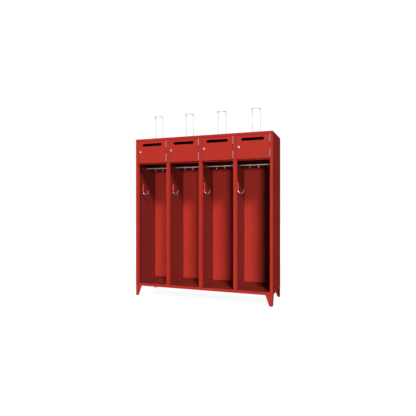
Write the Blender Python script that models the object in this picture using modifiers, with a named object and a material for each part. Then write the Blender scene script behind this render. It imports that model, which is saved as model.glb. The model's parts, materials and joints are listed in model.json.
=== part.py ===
"""Firefighter gear locker in folded sheet steel.

Four bays stand side by side. Each has an open wardrobe below, with a clothes rod, sliding hooks and
a coat hook, and above it a small box with a slotted door, a cam lock and two hinges. Wire helmet
holders stand on the roof and four folded legs carry the body. Metres, +Z up, front towards -Y.
The origin is on the floor, at the middle of the overall footprint.
"""

import math

import bmesh
import bpy
from mathutils import Matrix, Vector

# Body: the driving dimensions
BAY_COUNT = 4
BAY_PITCH = 0.400
STILE_WIDTH = 0.030
BODY_DEPTH = 0.500
BODY_TOP = 1.850
FLOOR_LEVEL = 0.150
SHELF_LEVEL = 1.575

# Sheet metal, and the clearances between pieces
SHEET = 0.001
FOLD_RADIUS = 0.0012
FOLD_SEGMENTS = 2
FOLD_LIMIT_DEG = 40
SEAT_GAP = 0.0003
WELD_DEPTH = 0.0003

# Folded edges of the body
RAIL_HEIGHT = 0.032
ROOF_LIP = 0.026
STOP_DEPTH = 0.018
STOP_WIDTH = 0.011
REAR_FLANGE = 0.018
LIP_CLEARANCE = 0.0025
TAB_WIDTH = 0.012
TAB_INSET = 0.040
TAB_RELIEF = 0.004
SHELF_LIP = 0.025

# Doors
DOOR_GAP = 0.003
DOOR_DEPTH = 0.016
DOOR_LIP = 0.010
DOOR_OVERLAP = 0.011
SLOT_LENGTH = 0.250
SLOT_HEIGHT = 0.032
SLOT_DROP = 0.045

# Door hinges
LEAF_SHEET = 0.0015
LEAF_DEPTH = 0.013
LEAF_CLEARANCE = 0.0006
KNUCKLE_RADIUS = 0.0055
KNUCKLE_STEP_DEG = 37.5
KNUCKLE_WRAP_DEG = 300
KNUCKLE_CLEARANCE = 0.0004
KNUCKLE_SHARE = 1 / 3
HINGE_LENGTH = 0.080
HINGE_TOP_INSET = 0.008
HINGE_BOTTOM_INSET = 0.014
PIN_HEAD = 0.0015
PIN_TAIL = 0.001

# Door locks
LOCK_INSET = 0.028
LOCK_HEIGHT_SHARE = 0.52
LOCK_BARREL_RADIUS = 0.0095
LOCK_COLLAR_RADIUS = 0.011
LOCK_COLLAR = 0.003
LOCK_CHAMFER = 0.0012
LOCK_NUT_RADIUS = 0.012
LOCK_NUT = 0.004
LOCK_PLUG_RADIUS = 0.0065
LOCK_PLUG_RECESS = 0.0006
KEYWAY_LENGTH = 0.007
KEYWAY_WIDTH = 0.0018
KEYWAY_DEPTH = 0.003
CAM_SHEET = 0.002
CAM_HUB_RADIUS = 0.008
CAM_TIP_RADIUS = 0.006
CAM_REACH = 0.030
SPINDLE_RADIUS = 0.004

# Clothes rod with a flanged foot at each end
ROD_RADIUS = 0.007
ROD_WALL = 0.0012
ROD_DROP = 0.048
ROD_DEPTH_SHARE = 0.52
ROD_BOSS_RADIUS = 0.010
ROD_BOSS = 0.010
ROD_FLANGE_RADIUS = 0.015
ROD_FLANGE = 0.002

# Hooks that slide on the rod
HOOK_WIRE_RADIUS = 0.002
HOOK_RUN_CLEARANCE = 0.0006
HOOK_THROAT_RADIUS = 0.008
HOOK_DROP = 0.038
HOOK_TIP = 0.004
HOOK_PLACE_SHARES = (0.31, 0.56, 0.81)
HOOK_EYE_START_DEG = 232

# Coat hook on the left wall of each bay
COAT_DEPTH_SHARE = 0.33
COAT_PLATE_TOP = 1.328
COAT_PLATE_LENGTH = 0.098
COAT_PLATE_WIDTH = 0.020
COAT_PLATE = 0.002
COAT_SLEEVE_RADIUS = 0.0065
COAT_SLEEVE_INSET = 0.003
COAT_BAR_RADIUS = 0.005
COAT_BEND_RADIUS = 0.032
COAT_TIP = 0.012
COAT_CAP_LENGTH = 0.017
COAT_CAP_CHAMFER = 0.002

# Helmet holders on the roof
HOLDER_PLACE_SHARE = 0.5325
HOLDER_SETBACK = 0.194
HOLDER_SPREAD = 0.093
HOLDER_HEIGHT = 0.290
HOLDER_RADIUS = 0.004
HOLDER_BEND = 0.016
HOLDER_TAIL = 0.012
NUT_RADIUS = 0.0075
NUT_HEIGHT = 0.0065

# Legs
LEG_SHEET = 0.002
LEG_FOLD_RADIUS = 0.002
LEG_TOP_WIDTH = 0.077
LEG_FOOT_WIDTH = 0.040
LEG_CORNER_RADIUS = 0.015
FOOT_PAD = 0.022
FOOT_RELIEF = 0.006
FOOT_STEP_DEG = 45

# Fineness of round pieces
ROUND_STEPS = 12
ROUND_STEP_DEG = 30
PIN_STEPS = 10
SMOOTH_DEG = 50
OVERRUN = 0.002
MERGE = 0.00001

# Places that follow from the sizes above; x in a bay is counted from the left edge of its stile
HALF_SHEET = SHEET / 2
BODY_WIDTH = BAY_COUNT * BAY_PITCH + STILE_WIDTH
RIGHT_X = BODY_WIDTH / 2
LEFT_X = -RIGHT_X
HINGE_STANDOUT = 2 * KNUCKLE_RADIUS + SEAT_GAP
FRONT_Y = (HINGE_STANDOUT - BODY_DEPTH) / 2
BACK_Y = FRONT_Y + BODY_DEPTH
INNER_BACK_Y = BACK_Y - SHEET - SEAT_GAP
BODY_BOTTOM = FLOOR_LEVEL - RAIL_HEIGHT
ROOF_LIP_BOTTOM = BODY_TOP - ROOF_LIP
HINGE_SEAM = 2 * (LEAF_SHEET - WELD_DEPTH) + LEAF_CLEARANCE
HINGE_X = BAY_PITCH - HINGE_SEAM / 2
HINGE_Y = FRONT_Y - KNUCKLE_RADIUS - SEAT_GAP
DOOR_LEFT = STILE_WIDTH + DOOR_GAP
DOOR_RIGHT = BAY_PITCH - HINGE_SEAM
DOOR_TOP = ROOF_LIP_BOTTOM - DOOR_GAP
DOOR_BOTTOM = SHELF_LEVEL - DOOR_OVERLAP
LOCK_X = DOOR_LEFT + LOCK_INSET
LOCK_Z = DOOR_BOTTOM + LOCK_HEIGHT_SHARE * (DOOR_TOP - DOOR_BOTTOM)
LOCK_END = STOP_DEPTH + SEAT_GAP
ROD_Y = FRONT_Y + ROD_DEPTH_SHARE * BODY_DEPTH
ROD_Z = SHELF_LEVEL - ROD_DROP
COAT_Y = FRONT_Y + COAT_DEPTH_SHARE * BODY_DEPTH
HOLDER_X = HOLDER_PLACE_SHARE * BAY_PITCH
HOLDER_Y = FRONT_Y + HOLDER_SETBACK
DOOR_AXIS = Vector((HINGE_X, HINGE_Y, DOOR_BOTTOM))
LOCK_AXIS = Vector((LOCK_X, FRONT_Y, LOCK_Z))
ROD_START = Vector((SHEET + SEAT_GAP, ROD_Y, ROD_Z))


def clear_scene():
    """Removes every object that the file opened with."""
    for item in list(bpy.data.objects):
        bpy.data.objects.remove(item, do_unlink=True)


def make_collection(name):
    """Returns a new collection, linked to the scene."""
    collection = bpy.data.collections.new(name)
    bpy.context.scene.collection.children.link(collection)
    return collection


def make_material(name, color, roughness, metallic):
    """Returns a Principled material with one colour."""
    material = bpy.data.materials.new(name)
    material.use_nodes = True
    shader = material.node_tree.nodes["Principled BSDF"]
    shader.inputs["Base Color"].default_value = (*color, 1.0)
    shader.inputs["Roughness"].default_value = roughness
    shader.inputs["Metallic"].default_value = metallic
    material.diffuse_color = (*color, 1.0)
    return material


clear_scene()
LOCKER = make_collection("firefighter_gear_locker")
CUTTERS = make_collection("cutters")
RED_PAINT = make_material("red_paint", (0.50, 0.035, 0.025), 0.38, 0.0)
ZINC = make_material("zinc_plated_steel", (0.62, 0.62, 0.60), 0.32, 1.0)
BRIGHT_WIRE = make_material("bright_wire", (0.80, 0.80, 0.79), 0.22, 1.0)
CHROME = make_material("chromed_brass", (0.78, 0.78, 0.76), 0.15, 1.0)


def add_object(name, data, material, collection=LOCKER):
    """Links a new object for a mesh or curve and gives it its material."""
    item = bpy.data.objects.new(name, data)
    data.materials.clear()
    data.materials.append(material)
    collection.objects.link(item)
    return item


def mesh_object(name, shape, material, collection=LOCKER, smooth_deg=SMOOTH_DEG):
    """Turns a bmesh into an object whose edges sharper than smooth_deg stay sharp."""
    mesh = bpy.data.meshes.new(name)
    shape.to_mesh(mesh)
    shape.free()
    mesh.shade_smooth()
    mesh.set_sharp_from_angle(angle=math.radians(smooth_deg))
    return add_object(name, mesh, material, collection)


def evaluated_shape(item):
    """What an object shows, with its modifiers, as a bmesh in world space with its caps welded."""
    bpy.context.view_layer.update()
    graph = bpy.context.evaluated_depsgraph_get()
    mesh = bpy.data.meshes.new_from_object(item.evaluated_get(graph))
    shape = bmesh.new()
    shape.from_mesh(mesh)
    bpy.data.meshes.remove(mesh)
    bmesh.ops.transform(shape, matrix=item.matrix_world, verts=shape.verts)
    bmesh.ops.remove_doubles(shape, verts=shape.verts, dist=MERGE)
    return shape


def finished_mesh(item, origin=(0, 0, 0), smooth_deg=SMOOTH_DEG):
    """The finished mesh of a pattern about a new origin; the pattern and its cutters go."""
    shape = evaluated_shape(item)
    bmesh.ops.translate(shape, vec=-Vector(origin), verts=shape.verts)
    mesh = bpy.data.meshes.new(item.name)
    shape.to_mesh(mesh)
    shape.free()
    mesh.shade_smooth()
    mesh.set_sharp_from_angle(angle=math.radians(smooth_deg))
    operands = [modifier.object for modifier in item.modifiers if modifier.type == "BOOLEAN"]
    for used in [item, *operands]:
        bpy.data.objects.remove(used, do_unlink=True)
    return mesh


def place(name, data, material, location, parent=None):
    """A copy of a finished piece, as its own object, at a place in its parent's space."""
    item = add_object(name, data, material)
    item.parent = parent
    item.location = location
    return item


def bay_left(bay):
    """X of the left edge of a bay's stile."""
    return LEFT_X + bay * BAY_PITCH


def in_bay(bay, point):
    """A point of a bay in the locker's space."""
    return Vector((bay_left(bay), 0, 0)) + Vector(point)


def bay_width(bay):
    """X of the inner face of a bay's right wall: the outer wall stands beyond the last stile."""
    return BAY_PITCH + STILE_WIDTH - SHEET if bay == BAY_COUNT - 1 else BAY_PITCH


def add_fold(item, radius=FOLD_RADIUS):
    """Rounds the folds of a sheet, drawn as its middle surface."""
    fold = item.modifiers.new("folds", "BEVEL")
    fold.width = radius
    fold.segments = FOLD_SEGMENTS
    fold.limit_method = "ANGLE"
    fold.angle_limit = math.radians(FOLD_LIMIT_DEG)


def add_thickness(item, thickness=SHEET):
    """Gives a middle surface its thickness, half to each side."""
    wall = item.modifiers.new("thickness", "SOLIDIFY")
    wall.thickness = thickness
    wall.offset = 0
    wall.use_even_offset = True


def combine(item, operand, operation):
    """Cuts a shape out of an object or joins it on; the other shape stays as a hidden guide."""
    operand.hide_render = True
    operand.display_type = "WIRE"
    boolean = item.modifiers.new(operand.name, "BOOLEAN")
    boolean.object = operand
    boolean.operation = operation
    boolean.solver = "EXACT"


def folded_sheet(profile, levels, left_out):
    """A profile of (x, y) points drawn up through levels, without some of its panels, as a bmesh.

    left_out(center) is true for the middle point of each panel that is cut away.
    """
    shape = bmesh.new()
    verts = [shape.verts.new((x, y, levels[0])) for x, y in profile]
    edges = [shape.edges.new(pair) for pair in zip(verts, verts[1:])]
    for low, high in zip(levels, levels[1:]):
        drawn = bmesh.ops.extrude_edge_only(shape, edges=edges)["geom"]
        verts = [part for part in drawn if isinstance(part, bmesh.types.BMVert)]
        edges = [part for part in drawn if isinstance(part, bmesh.types.BMEdge)]
        edges = [edge for edge in edges if all(vert in verts for vert in edge.verts)]
        bmesh.ops.translate(shape, vec=(0, 0, high - low), verts=verts)
    cut = [face for face in shape.faces if left_out(face.calc_center_median())]
    bmesh.ops.delete(shape, geom=cut, context="FACES")
    bmesh.ops.recalc_face_normals(shape, faces=shape.faces)
    return shape


def sheet_pan(name, low, high, open_sides, lip=0):
    """A folded tray between two corners, without its open sides, given as (axis, sign) pairs.

    A lip is turned in round the first open side.
    """
    low, high = Vector(low), Vector(high)
    skin = Vector((HALF_SHEET, HALF_SHEET, HALF_SHEET))
    inner_low, inner_high = low + skin, high - skin
    if not lip:
        for axis, sign in open_sides:
            if sign < 0:
                inner_low[axis] = low[axis]
            else:
                inner_high[axis] = high[axis]
    shape = box_shape(inner_low, inner_high)
    mouths = [max(shape.faces, key=lambda face: sign * face.calc_center_median()[axis])
              for axis, sign in open_sides]
    if lip:
        bmesh.ops.inset_region(shape, faces=mouths, thickness=lip - HALF_SHEET)
    bmesh.ops.delete(shape, geom=mouths, context="FACES")
    item = mesh_object(name, shape, RED_PAINT)
    add_fold(item)
    add_thickness(item)
    return item


def box_shape(low, high):
    """A box between two corners, as a bmesh."""
    low, high = Vector(low), Vector(high)
    shape = bmesh.new()
    bmesh.ops.create_cube(shape, size=1)
    bmesh.ops.scale(shape, vec=high - low, verts=shape.verts)
    bmesh.ops.translate(shape, vec=(low + high) / 2, verts=shape.verts)
    return shape


def round_bars(name, radius, lines, material=ZINC, steps=ROUND_STEPS):
    """Round bars, or hexagons, between pairs of points, as a guide for cutting or joining."""
    shape = bmesh.new()
    for low, high in lines:
        low, high = Vector(low), Vector(high)
        turn = Vector((0, 0, 1)).rotation_difference(high - low).to_matrix().to_4x4()
        bmesh.ops.create_cone(shape, cap_ends=True, segments=steps, radius1=radius,
                              radius2=radius, depth=(high - low).length,
                              matrix=Matrix.Translation((low + high) / 2) @ turn)
    return mesh_object(name, shape, material, CUTTERS)


def turned(name, profile, material, closed=False, steps=ROUND_STEPS, collection=LOCKER):
    """A profile of (radius, height) points, listed down its outer side, turned about Z."""
    mesh = bpy.data.meshes.new(name)
    count = len(profile)
    edges = [(i, i + 1) for i in range(count - 1)]
    if closed:
        edges.append((count - 1, 0))
    mesh.from_pydata([(radius, 0, height) for radius, height in profile], edges, [])
    item = add_object(name, mesh, material, collection)
    screw = item.modifiers.new("turn", "SCREW")
    screw.steps = steps
    screw.render_steps = steps
    screw.use_merge_vertices = True
    screw.merge_threshold = MERGE
    return item


def arc(center, radius, start_deg, end_deg, step_deg=ROUND_STEP_DEG):
    """Points (u, v) on an arc, both ends included."""
    count = max(2, math.ceil(abs(end_deg - start_deg) / step_deg))
    angles = [math.radians(start_deg + (end_deg - start_deg) * i / count) for i in range(count + 1)]
    return [(center[0] + radius * math.cos(a), center[1] + radius * math.sin(a)) for a in angles]


def wire_curve(name, points, radius, resolution):
    """A round, capped wire along a list of points."""
    curve = bpy.data.curves.new(name, "CURVE")
    curve.dimensions = "3D"
    curve.bevel_depth = radius
    curve.bevel_resolution = resolution
    curve.use_fill_caps = True
    spline = curve.splines.new("POLY")
    spline.points.add(len(points) - 1)
    for spot, point in zip(spline.points, points):
        spot.co = (*point, 1)
    return curve


def meshed(name, curve, material, collection=LOCKER):
    """The mesh of a curve as an object, so that it can be cut or joined."""
    drawn = add_object(name + "_curve", curve, material, collection)
    shape = evaluated_shape(drawn)
    bpy.data.objects.remove(drawn, do_unlink=True)
    bmesh.ops.recalc_face_normals(shape, faces=shape.faces)
    return mesh_object(name, shape, material, collection)


def plate(name, outline, thickness, material, collection=LOCKER):
    """A flat outline of (x, y) points, half its thickness to each side of its plane."""
    curve = bpy.data.curves.new(name, "CURVE")
    curve.dimensions = "2D"
    curve.fill_mode = "BOTH"
    curve.extrude = thickness / 2
    spline = curve.splines.new("POLY")
    spline.points.add(len(outline) - 1)
    spline.use_cyclic_u = True
    for spot, (x, y) in zip(spline.points, outline):
        spot.co = (x, y, 0, 1)
    return meshed(name, curve, material, collection)


def clear_radius(radius, steps=ROUND_STEPS):
    """The radius of a faceted bore whose flats stay one seat gap off a round of this radius."""
    return (radius + SEAT_GAP) / math.cos(math.pi / steps)


def wall_profile(with_stop):
    """Rear flange, web, stile, return and stop of a wall, from the rear to the front.

    The web is split where the roof's lips pass and where its tabs begin and end.
    """
    front, rear = FRONT_Y + HALF_SHEET, INNER_BACK_Y - HALF_SHEET
    edge = STILE_WIDTH - HALF_SHEET
    stop = FRONT_Y + STOP_DEPTH - HALF_SHEET
    insets = (0, LIP_CLEARANCE, TAB_INSET - TAB_RELIEF, TAB_INSET)
    web = [rear - inset for inset in insets] + [front + inset for inset in reversed(insets)]
    profile = [(REAR_FLANGE, rear), *((HALF_SHEET, y) for y in web), (edge, front), (edge, stop)]
    if with_stop:
        profile.append((STILE_WIDTH + STOP_WIDTH, stop))
    return profile


def wall(name, with_stop, side=1):
    """A wall that stands on the floor sheet and reaches up behind the roof's lips.

    Its tabs, at both ends of the web, have a relief notch on either side. A side of -1 mirrors it.
    """
    front, rear = FRONT_Y + HALF_SHEET, INNER_BACK_Y - HALF_SHEET
    bottom = FLOOR_LEVEL + SEAT_GAP + HALF_SHEET
    top = BODY_TOP - SHEET - SEAT_GAP - HALF_SHEET
    lip = ROOF_LIP_BOTTOM - SEAT_GAP

    def left_out(center):
        inset = min(center.y - front, rear - center.y)
        off_web = center.x > SHEET
        at_end = not bottom + TAB_RELIEF < center.z < top - TAB_RELIEF
        notch = at_end and TAB_INSET - TAB_RELIEF < inset < TAB_INSET
        return notch or (center.z > lip and (off_web or inset < LIP_CLEARANCE))

    def on_tab(edge):
        middle = (edge.verts[0].co + edge.verts[1].co) / 2
        inset = min(middle.y - front, rear - middle.y)
        at_end = min(middle.z - bottom, top - middle.z) < MERGE
        return at_end and inset > TAB_INSET + MERGE

    levels = (bottom, bottom + TAB_RELIEF, lip, top - TAB_RELIEF, top)
    shape = folded_sheet(wall_profile(with_stop), levels, left_out)
    tab_edges = [edge for edge in shape.edges if on_tab(edge)]
    tabs = bmesh.ops.extrude_edge_only(shape, edges=tab_edges)["geom"]
    moved = [part for part in tabs if isinstance(part, bmesh.types.BMVert)]
    bmesh.ops.translate(shape, vec=(TAB_WIDTH - HALF_SHEET, 0, 0), verts=moved)
    bmesh.ops.scale(shape, vec=(side, 1, 1), verts=shape.verts)
    bmesh.ops.recalc_face_normals(shape, faces=shape.faces)
    sheet = mesh_object(name, shape, RED_PAINT)
    add_fold(sheet)
    add_thickness(sheet)
    return sheet


def build_walls():
    """The two outer walls and the dividers, with the hinge leaves that are welded to them."""
    left = wall("side_panel_left", True)
    left.location.x = LEFT_X

    right = wall("side_panel_right", False, -1)
    right.location.x = RIGHT_X
    last_leaves = hinge_leaves("frame_leaves", 1)
    last_leaves.location.x = bay_left(BAY_COUNT - 1)
    combine(right, last_leaves, "UNION")

    pattern = wall("divider", True)
    leaves = hinge_leaves("divider_leaves", 1)
    leaves.location.x = -BAY_PITCH
    combine(pattern, leaves, "UNION")
    mesh = finished_mesh(pattern)
    for bay in range(1, BAY_COUNT):
        place(f"divider_{bay}", mesh, RED_PAINT, in_bay(bay, (0, 0, 0)))


def build_shell():
    """Floor tray and roof, and the back sheet that closes the locker."""
    sheet_pan("floor_tray", (LEFT_X, FRONT_Y, BODY_BOTTOM), (RIGHT_X, INNER_BACK_Y, FLOOR_LEVEL),
              ((2, -1),))
    roof = sheet_pan("roof_panel", (LEFT_X, FRONT_Y, ROOF_LIP_BOTTOM),
                     (RIGHT_X, INNER_BACK_Y, BODY_TOP), ((2, -1), (0, -1), (0, 1)))
    spots = [in_bay(bay, (HOLDER_X + side * HOLDER_SPREAD / 2, HOLDER_Y, BODY_TOP))
             for bay in range(BAY_COUNT) for side in (-1, 1)]
    through = Vector((0, 0, SHEET + OVERRUN))
    holes = round_bars("holder_holes", clear_radius(HOLDER_RADIUS),
                       [(spot - through, spot + through) for spot in spots])
    combine(roof, holes, "DIFFERENCE")
    back = box_shape((LEFT_X, BACK_Y - SHEET, BODY_BOTTOM), (RIGHT_X, BACK_Y, BODY_TOP))
    mesh_object("back_panel", back, RED_PAINT)


def build_shelves():
    """The bottom of each top box; its front edge is folded down behind the door stop."""
    for bay in range(BAY_COUNT):
        low = (SHEET + SEAT_GAP, FRONT_Y + STOP_DEPTH + SEAT_GAP, SHELF_LEVEL - SHELF_LIP)
        high = (bay_width(bay) - SEAT_GAP, INNER_BACK_Y - SHEET - SEAT_GAP, SHELF_LEVEL)
        sheet_pan(f"shelf_{bay + 1}", in_bay(bay, low), in_bay(bay, high), ((2, -1),))


def slot_outline(length, height):
    """Outline of a slot with round ends."""
    radius = height / 2
    reach = length / 2 - radius
    return arc((reach, 0), radius, -90, 90) + arc((-reach, 0), radius, 90, 270)


def build_doors():
    """Doors folded as trays, with turned-in lips, the slot, the lock hole and the hinge leaves."""
    pattern = sheet_pan("door", (DOOR_LEFT, FRONT_Y, DOOR_BOTTOM),
                        (DOOR_RIGHT, FRONT_Y + DOOR_DEPTH, DOOR_TOP), ((1, 1),), DOOR_LIP)
    slot = plate("slot", slot_outline(SLOT_LENGTH, SLOT_HEIGHT), 2 * OVERRUN, ZINC, CUTTERS)
    slot.location = ((DOOR_LEFT + DOOR_RIGHT) / 2, FRONT_Y, DOOR_TOP - SLOT_DROP)
    slot.rotation_euler = (math.radians(90), 0, 0)
    combine(pattern, slot, "DIFFERENCE")
    through = Vector((0, SHEET + OVERRUN, 0))
    hole = round_bars("lock_hole", clear_radius(LOCK_BARREL_RADIUS),
                      [(LOCK_AXIS - through, LOCK_AXIS + through)])
    combine(pattern, hole, "DIFFERENCE")
    combine(pattern, hinge_leaves("door_leaves", -1), "UNION")
    mesh = finished_mesh(pattern, DOOR_AXIS)
    return [place(f"door_{bay + 1}", mesh, RED_PAINT, in_bay(bay, DOOR_AXIS))
            for bay in range(BAY_COUNT)]


def hinge_bottoms():
    """Z of the lower end of the lower and upper hinge of a door."""
    return DOOR_BOTTOM + HINGE_BOTTOM_INSET, DOOR_TOP - HINGE_TOP_INSET - HINGE_LENGTH


def hinge_leaves(name, side):
    """The two leaves of one bay on one side of the seam, rolled round the pins.

    side is 1 for the frame, whose leaves hold the outer knuckles, and -1 for the door, whose
    leaves hold the middle ones.
    """
    middle = KNUCKLE_RADIUS - LEAF_SHEET / 2
    offset = (LEAF_CLEARANCE + LEAF_SHEET) / 2
    neck = math.degrees(math.acos(offset / middle))
    eye = arc((0, 0), middle, neck, neck - KNUCKLE_WRAP_DEG, KNUCKLE_STEP_DEG)
    strip = [(offset, FRONT_Y - HINGE_Y + LEAF_DEPTH), (offset, FRONT_Y - HINGE_Y)]
    profile = [(HINGE_X + side * x, HINGE_Y + y) for x, y in strip + eye]
    joint = HINGE_LENGTH * KNUCKLE_SHARE
    own_gap = 0 if side > 0 else KNUCKLE_CLEARANCE
    steps = (0, joint + own_gap, HINGE_LENGTH - joint - own_gap, HINGE_LENGTH)
    rolled_rows = (0, 2) if side > 0 else (1,)
    levels = [bottom + step for bottom in hinge_bottoms() for step in steps]

    def left_out(center):
        row = sum(level < center.z for level in levels) - 1
        in_leaf = row % len(steps)
        between_leaves = in_leaf == len(steps) - 1
        return between_leaves or (center.y < FRONT_Y and in_leaf not in rolled_rows)

    leaves = mesh_object(name, folded_sheet(profile, levels, left_out), ZINC, CUTTERS)
    add_thickness(leaves, LEAF_SHEET)
    return leaves


def build_hinge_pins():
    """A headed pin through the knuckles of each hinge."""
    flat = math.cos(math.radians(KNUCKLE_STEP_DEG / 2))
    shank = (KNUCKLE_RADIUS - LEAF_SHEET / 2) * flat - LEAF_SHEET / 2 - SEAT_GAP
    head = KNUCKLE_RADIUS - SEAT_GAP
    top = HINGE_LENGTH + SEAT_GAP
    profile = (
        (0, top + PIN_HEAD),
        (head, top + PIN_HEAD),
        (head, top),
        (shank, top),
        (shank, -PIN_TAIL),
        (0, -PIN_TAIL),
    )
    mesh = finished_mesh(turned("pin", profile, ZINC, steps=PIN_STEPS))
    for bay in range(BAY_COUNT):
        for bottom, end in zip(hinge_bottoms(), ("lower", "upper")):
            place(f"hinge_pin_{bay + 1}_{end}", mesh, ZINC, in_bay(bay, (HINGE_X, HINGE_Y, bottom)))


def cam_outline():
    """A bar with two round ends of unlike radius, hanging down from the lock's axis."""
    reach = CAM_REACH - CAM_TIP_RADIUS
    lean = math.degrees(math.asin((CAM_HUB_RADIUS - CAM_TIP_RADIUS) / reach))
    hub = arc((0, 0), CAM_HUB_RADIUS, -lean, 180 + lean)
    tip = arc((0, -reach), CAM_TIP_RADIUS, 180 + lean, 360 - lean)
    return hub + tip


def build_locks(doors):
    """A lock body with its nut, fixed in each door, and the plug with its cam that turns in it."""
    face = SEAT_GAP + LOCK_COLLAR
    nut = -SHEET - SEAT_GAP
    bore = clear_radius(LOCK_PLUG_RADIUS)
    body_profile = (
        (bore, face),
        (LOCK_COLLAR_RADIUS - LOCK_CHAMFER, face),
        (LOCK_COLLAR_RADIUS, face - LOCK_CHAMFER),
        (LOCK_COLLAR_RADIUS, SEAT_GAP),
        (LOCK_BARREL_RADIUS, SEAT_GAP),
        (LOCK_BARREL_RADIUS, nut),
        (LOCK_NUT_RADIUS, nut),
        (LOCK_NUT_RADIUS, nut - LOCK_NUT),
        (LOCK_BARREL_RADIUS, nut - LOCK_NUT),
        (LOCK_BARREL_RADIUS, -LOCK_END),
        (bore, -LOCK_END),
    )
    body_mesh = finished_mesh(turned("lock_body", body_profile, CHROME, closed=True))

    plug_front = face - LOCK_PLUG_RECESS
    cam_front = -LOCK_END - SEAT_GAP
    plug_profile = (
        (0, plug_front),
        (LOCK_PLUG_RADIUS, plug_front),
        (LOCK_PLUG_RADIUS, -LOCK_END),
        (SPINDLE_RADIUS, -LOCK_END),
        (SPINDLE_RADIUS, cam_front - CAM_SHEET - SEAT_GAP),
        (0, cam_front - CAM_SHEET - SEAT_GAP),
    )
    plug = turned("lock_plug", plug_profile, CHROME)
    keyway_size = Vector((KEYWAY_WIDTH, KEYWAY_LENGTH, 2 * KEYWAY_DEPTH)) / 2
    keyway = mesh_object("keyway", box_shape(-keyway_size, keyway_size), ZINC, CUTTERS)
    keyway.location.z = plug_front
    combine(plug, keyway, "DIFFERENCE")
    cam = plate("cam", cam_outline(), CAM_SHEET, ZINC, CUTTERS)
    cam.location.z = cam_front - CAM_SHEET / 2
    combine(plug, cam, "UNION")
    plug_mesh = finished_mesh(plug)

    for bay, door in enumerate(doors):
        body = place(f"lock_body_{bay + 1}", body_mesh, CHROME, LOCK_AXIS - DOOR_AXIS, door)
        turning = place(f"lock_plug_{bay + 1}", plug_mesh, CHROME, LOCK_AXIS - DOOR_AXIS, door)
        for piece in (body, turning):
            piece.rotation_euler = (math.radians(90), 0, 0)


def build_rods():
    """A clothes tube across each bay, with a flanged foot welded to either end."""
    bore = ROD_RADIUS - ROD_WALL
    for bay in range(BAY_COUNT):
        length = bay_width(bay) - SEAT_GAP - ROD_START.x
        profile = (
            (bore, length),
            (ROD_FLANGE_RADIUS, length),
            (ROD_FLANGE_RADIUS, length - ROD_FLANGE),
            (ROD_BOSS_RADIUS, length - ROD_FLANGE),
            (ROD_BOSS_RADIUS, length - ROD_BOSS),
            (ROD_RADIUS, length - ROD_BOSS),
            (ROD_RADIUS, ROD_BOSS),
            (ROD_BOSS_RADIUS, ROD_BOSS),
            (ROD_BOSS_RADIUS, ROD_FLANGE),
            (ROD_FLANGE_RADIUS, ROD_FLANGE),
            (ROD_FLANGE_RADIUS, 0),
            (bore, 0),
        )
        rod = turned(f"clothes_rod_{bay + 1}", profile, BRIGHT_WIRE, closed=True)
        rod.location = in_bay(bay, ROD_START)
        rod.rotation_euler = (0, math.radians(90), 0)


def rod_hook_path():
    """Points of a sliding hook about the rod's axis: an open eye, a shank and a throat."""
    eye_radius = ROD_RADIUS + HOOK_RUN_CLEARANCE + HOOK_WIRE_RADIUS
    throat_z = HOOK_WIRE_RADIUS + HOOK_THROAT_RADIUS - HOOK_DROP
    throat_y = eye_radius - HOOK_THROAT_RADIUS
    eye = arc((0, 0), eye_radius, HOOK_EYE_START_DEG, 0)
    throat = arc((throat_y, throat_z), HOOK_THROAT_RADIUS, 0, -180)
    tip = [(throat_y - HOOK_THROAT_RADIUS, throat_z + HOOK_TIP)]
    return [(0, y, z) for y, z in eye + throat + tip]


def build_rod_hooks():
    """Three sliding hooks on each rod, with their origins on the rod's axis."""
    curve = wire_curve("rod_hook", rod_hook_path(), HOOK_WIRE_RADIUS, 1)
    for bay in range(BAY_COUNT):
        for number, share in enumerate(HOOK_PLACE_SHARES, start=1):
            place(f"rod_hook_{bay + 1}_{number}", curve, BRIGHT_WIRE,
                  in_bay(bay, (share * BAY_PITCH, ROD_Y, ROD_Z)))


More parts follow.
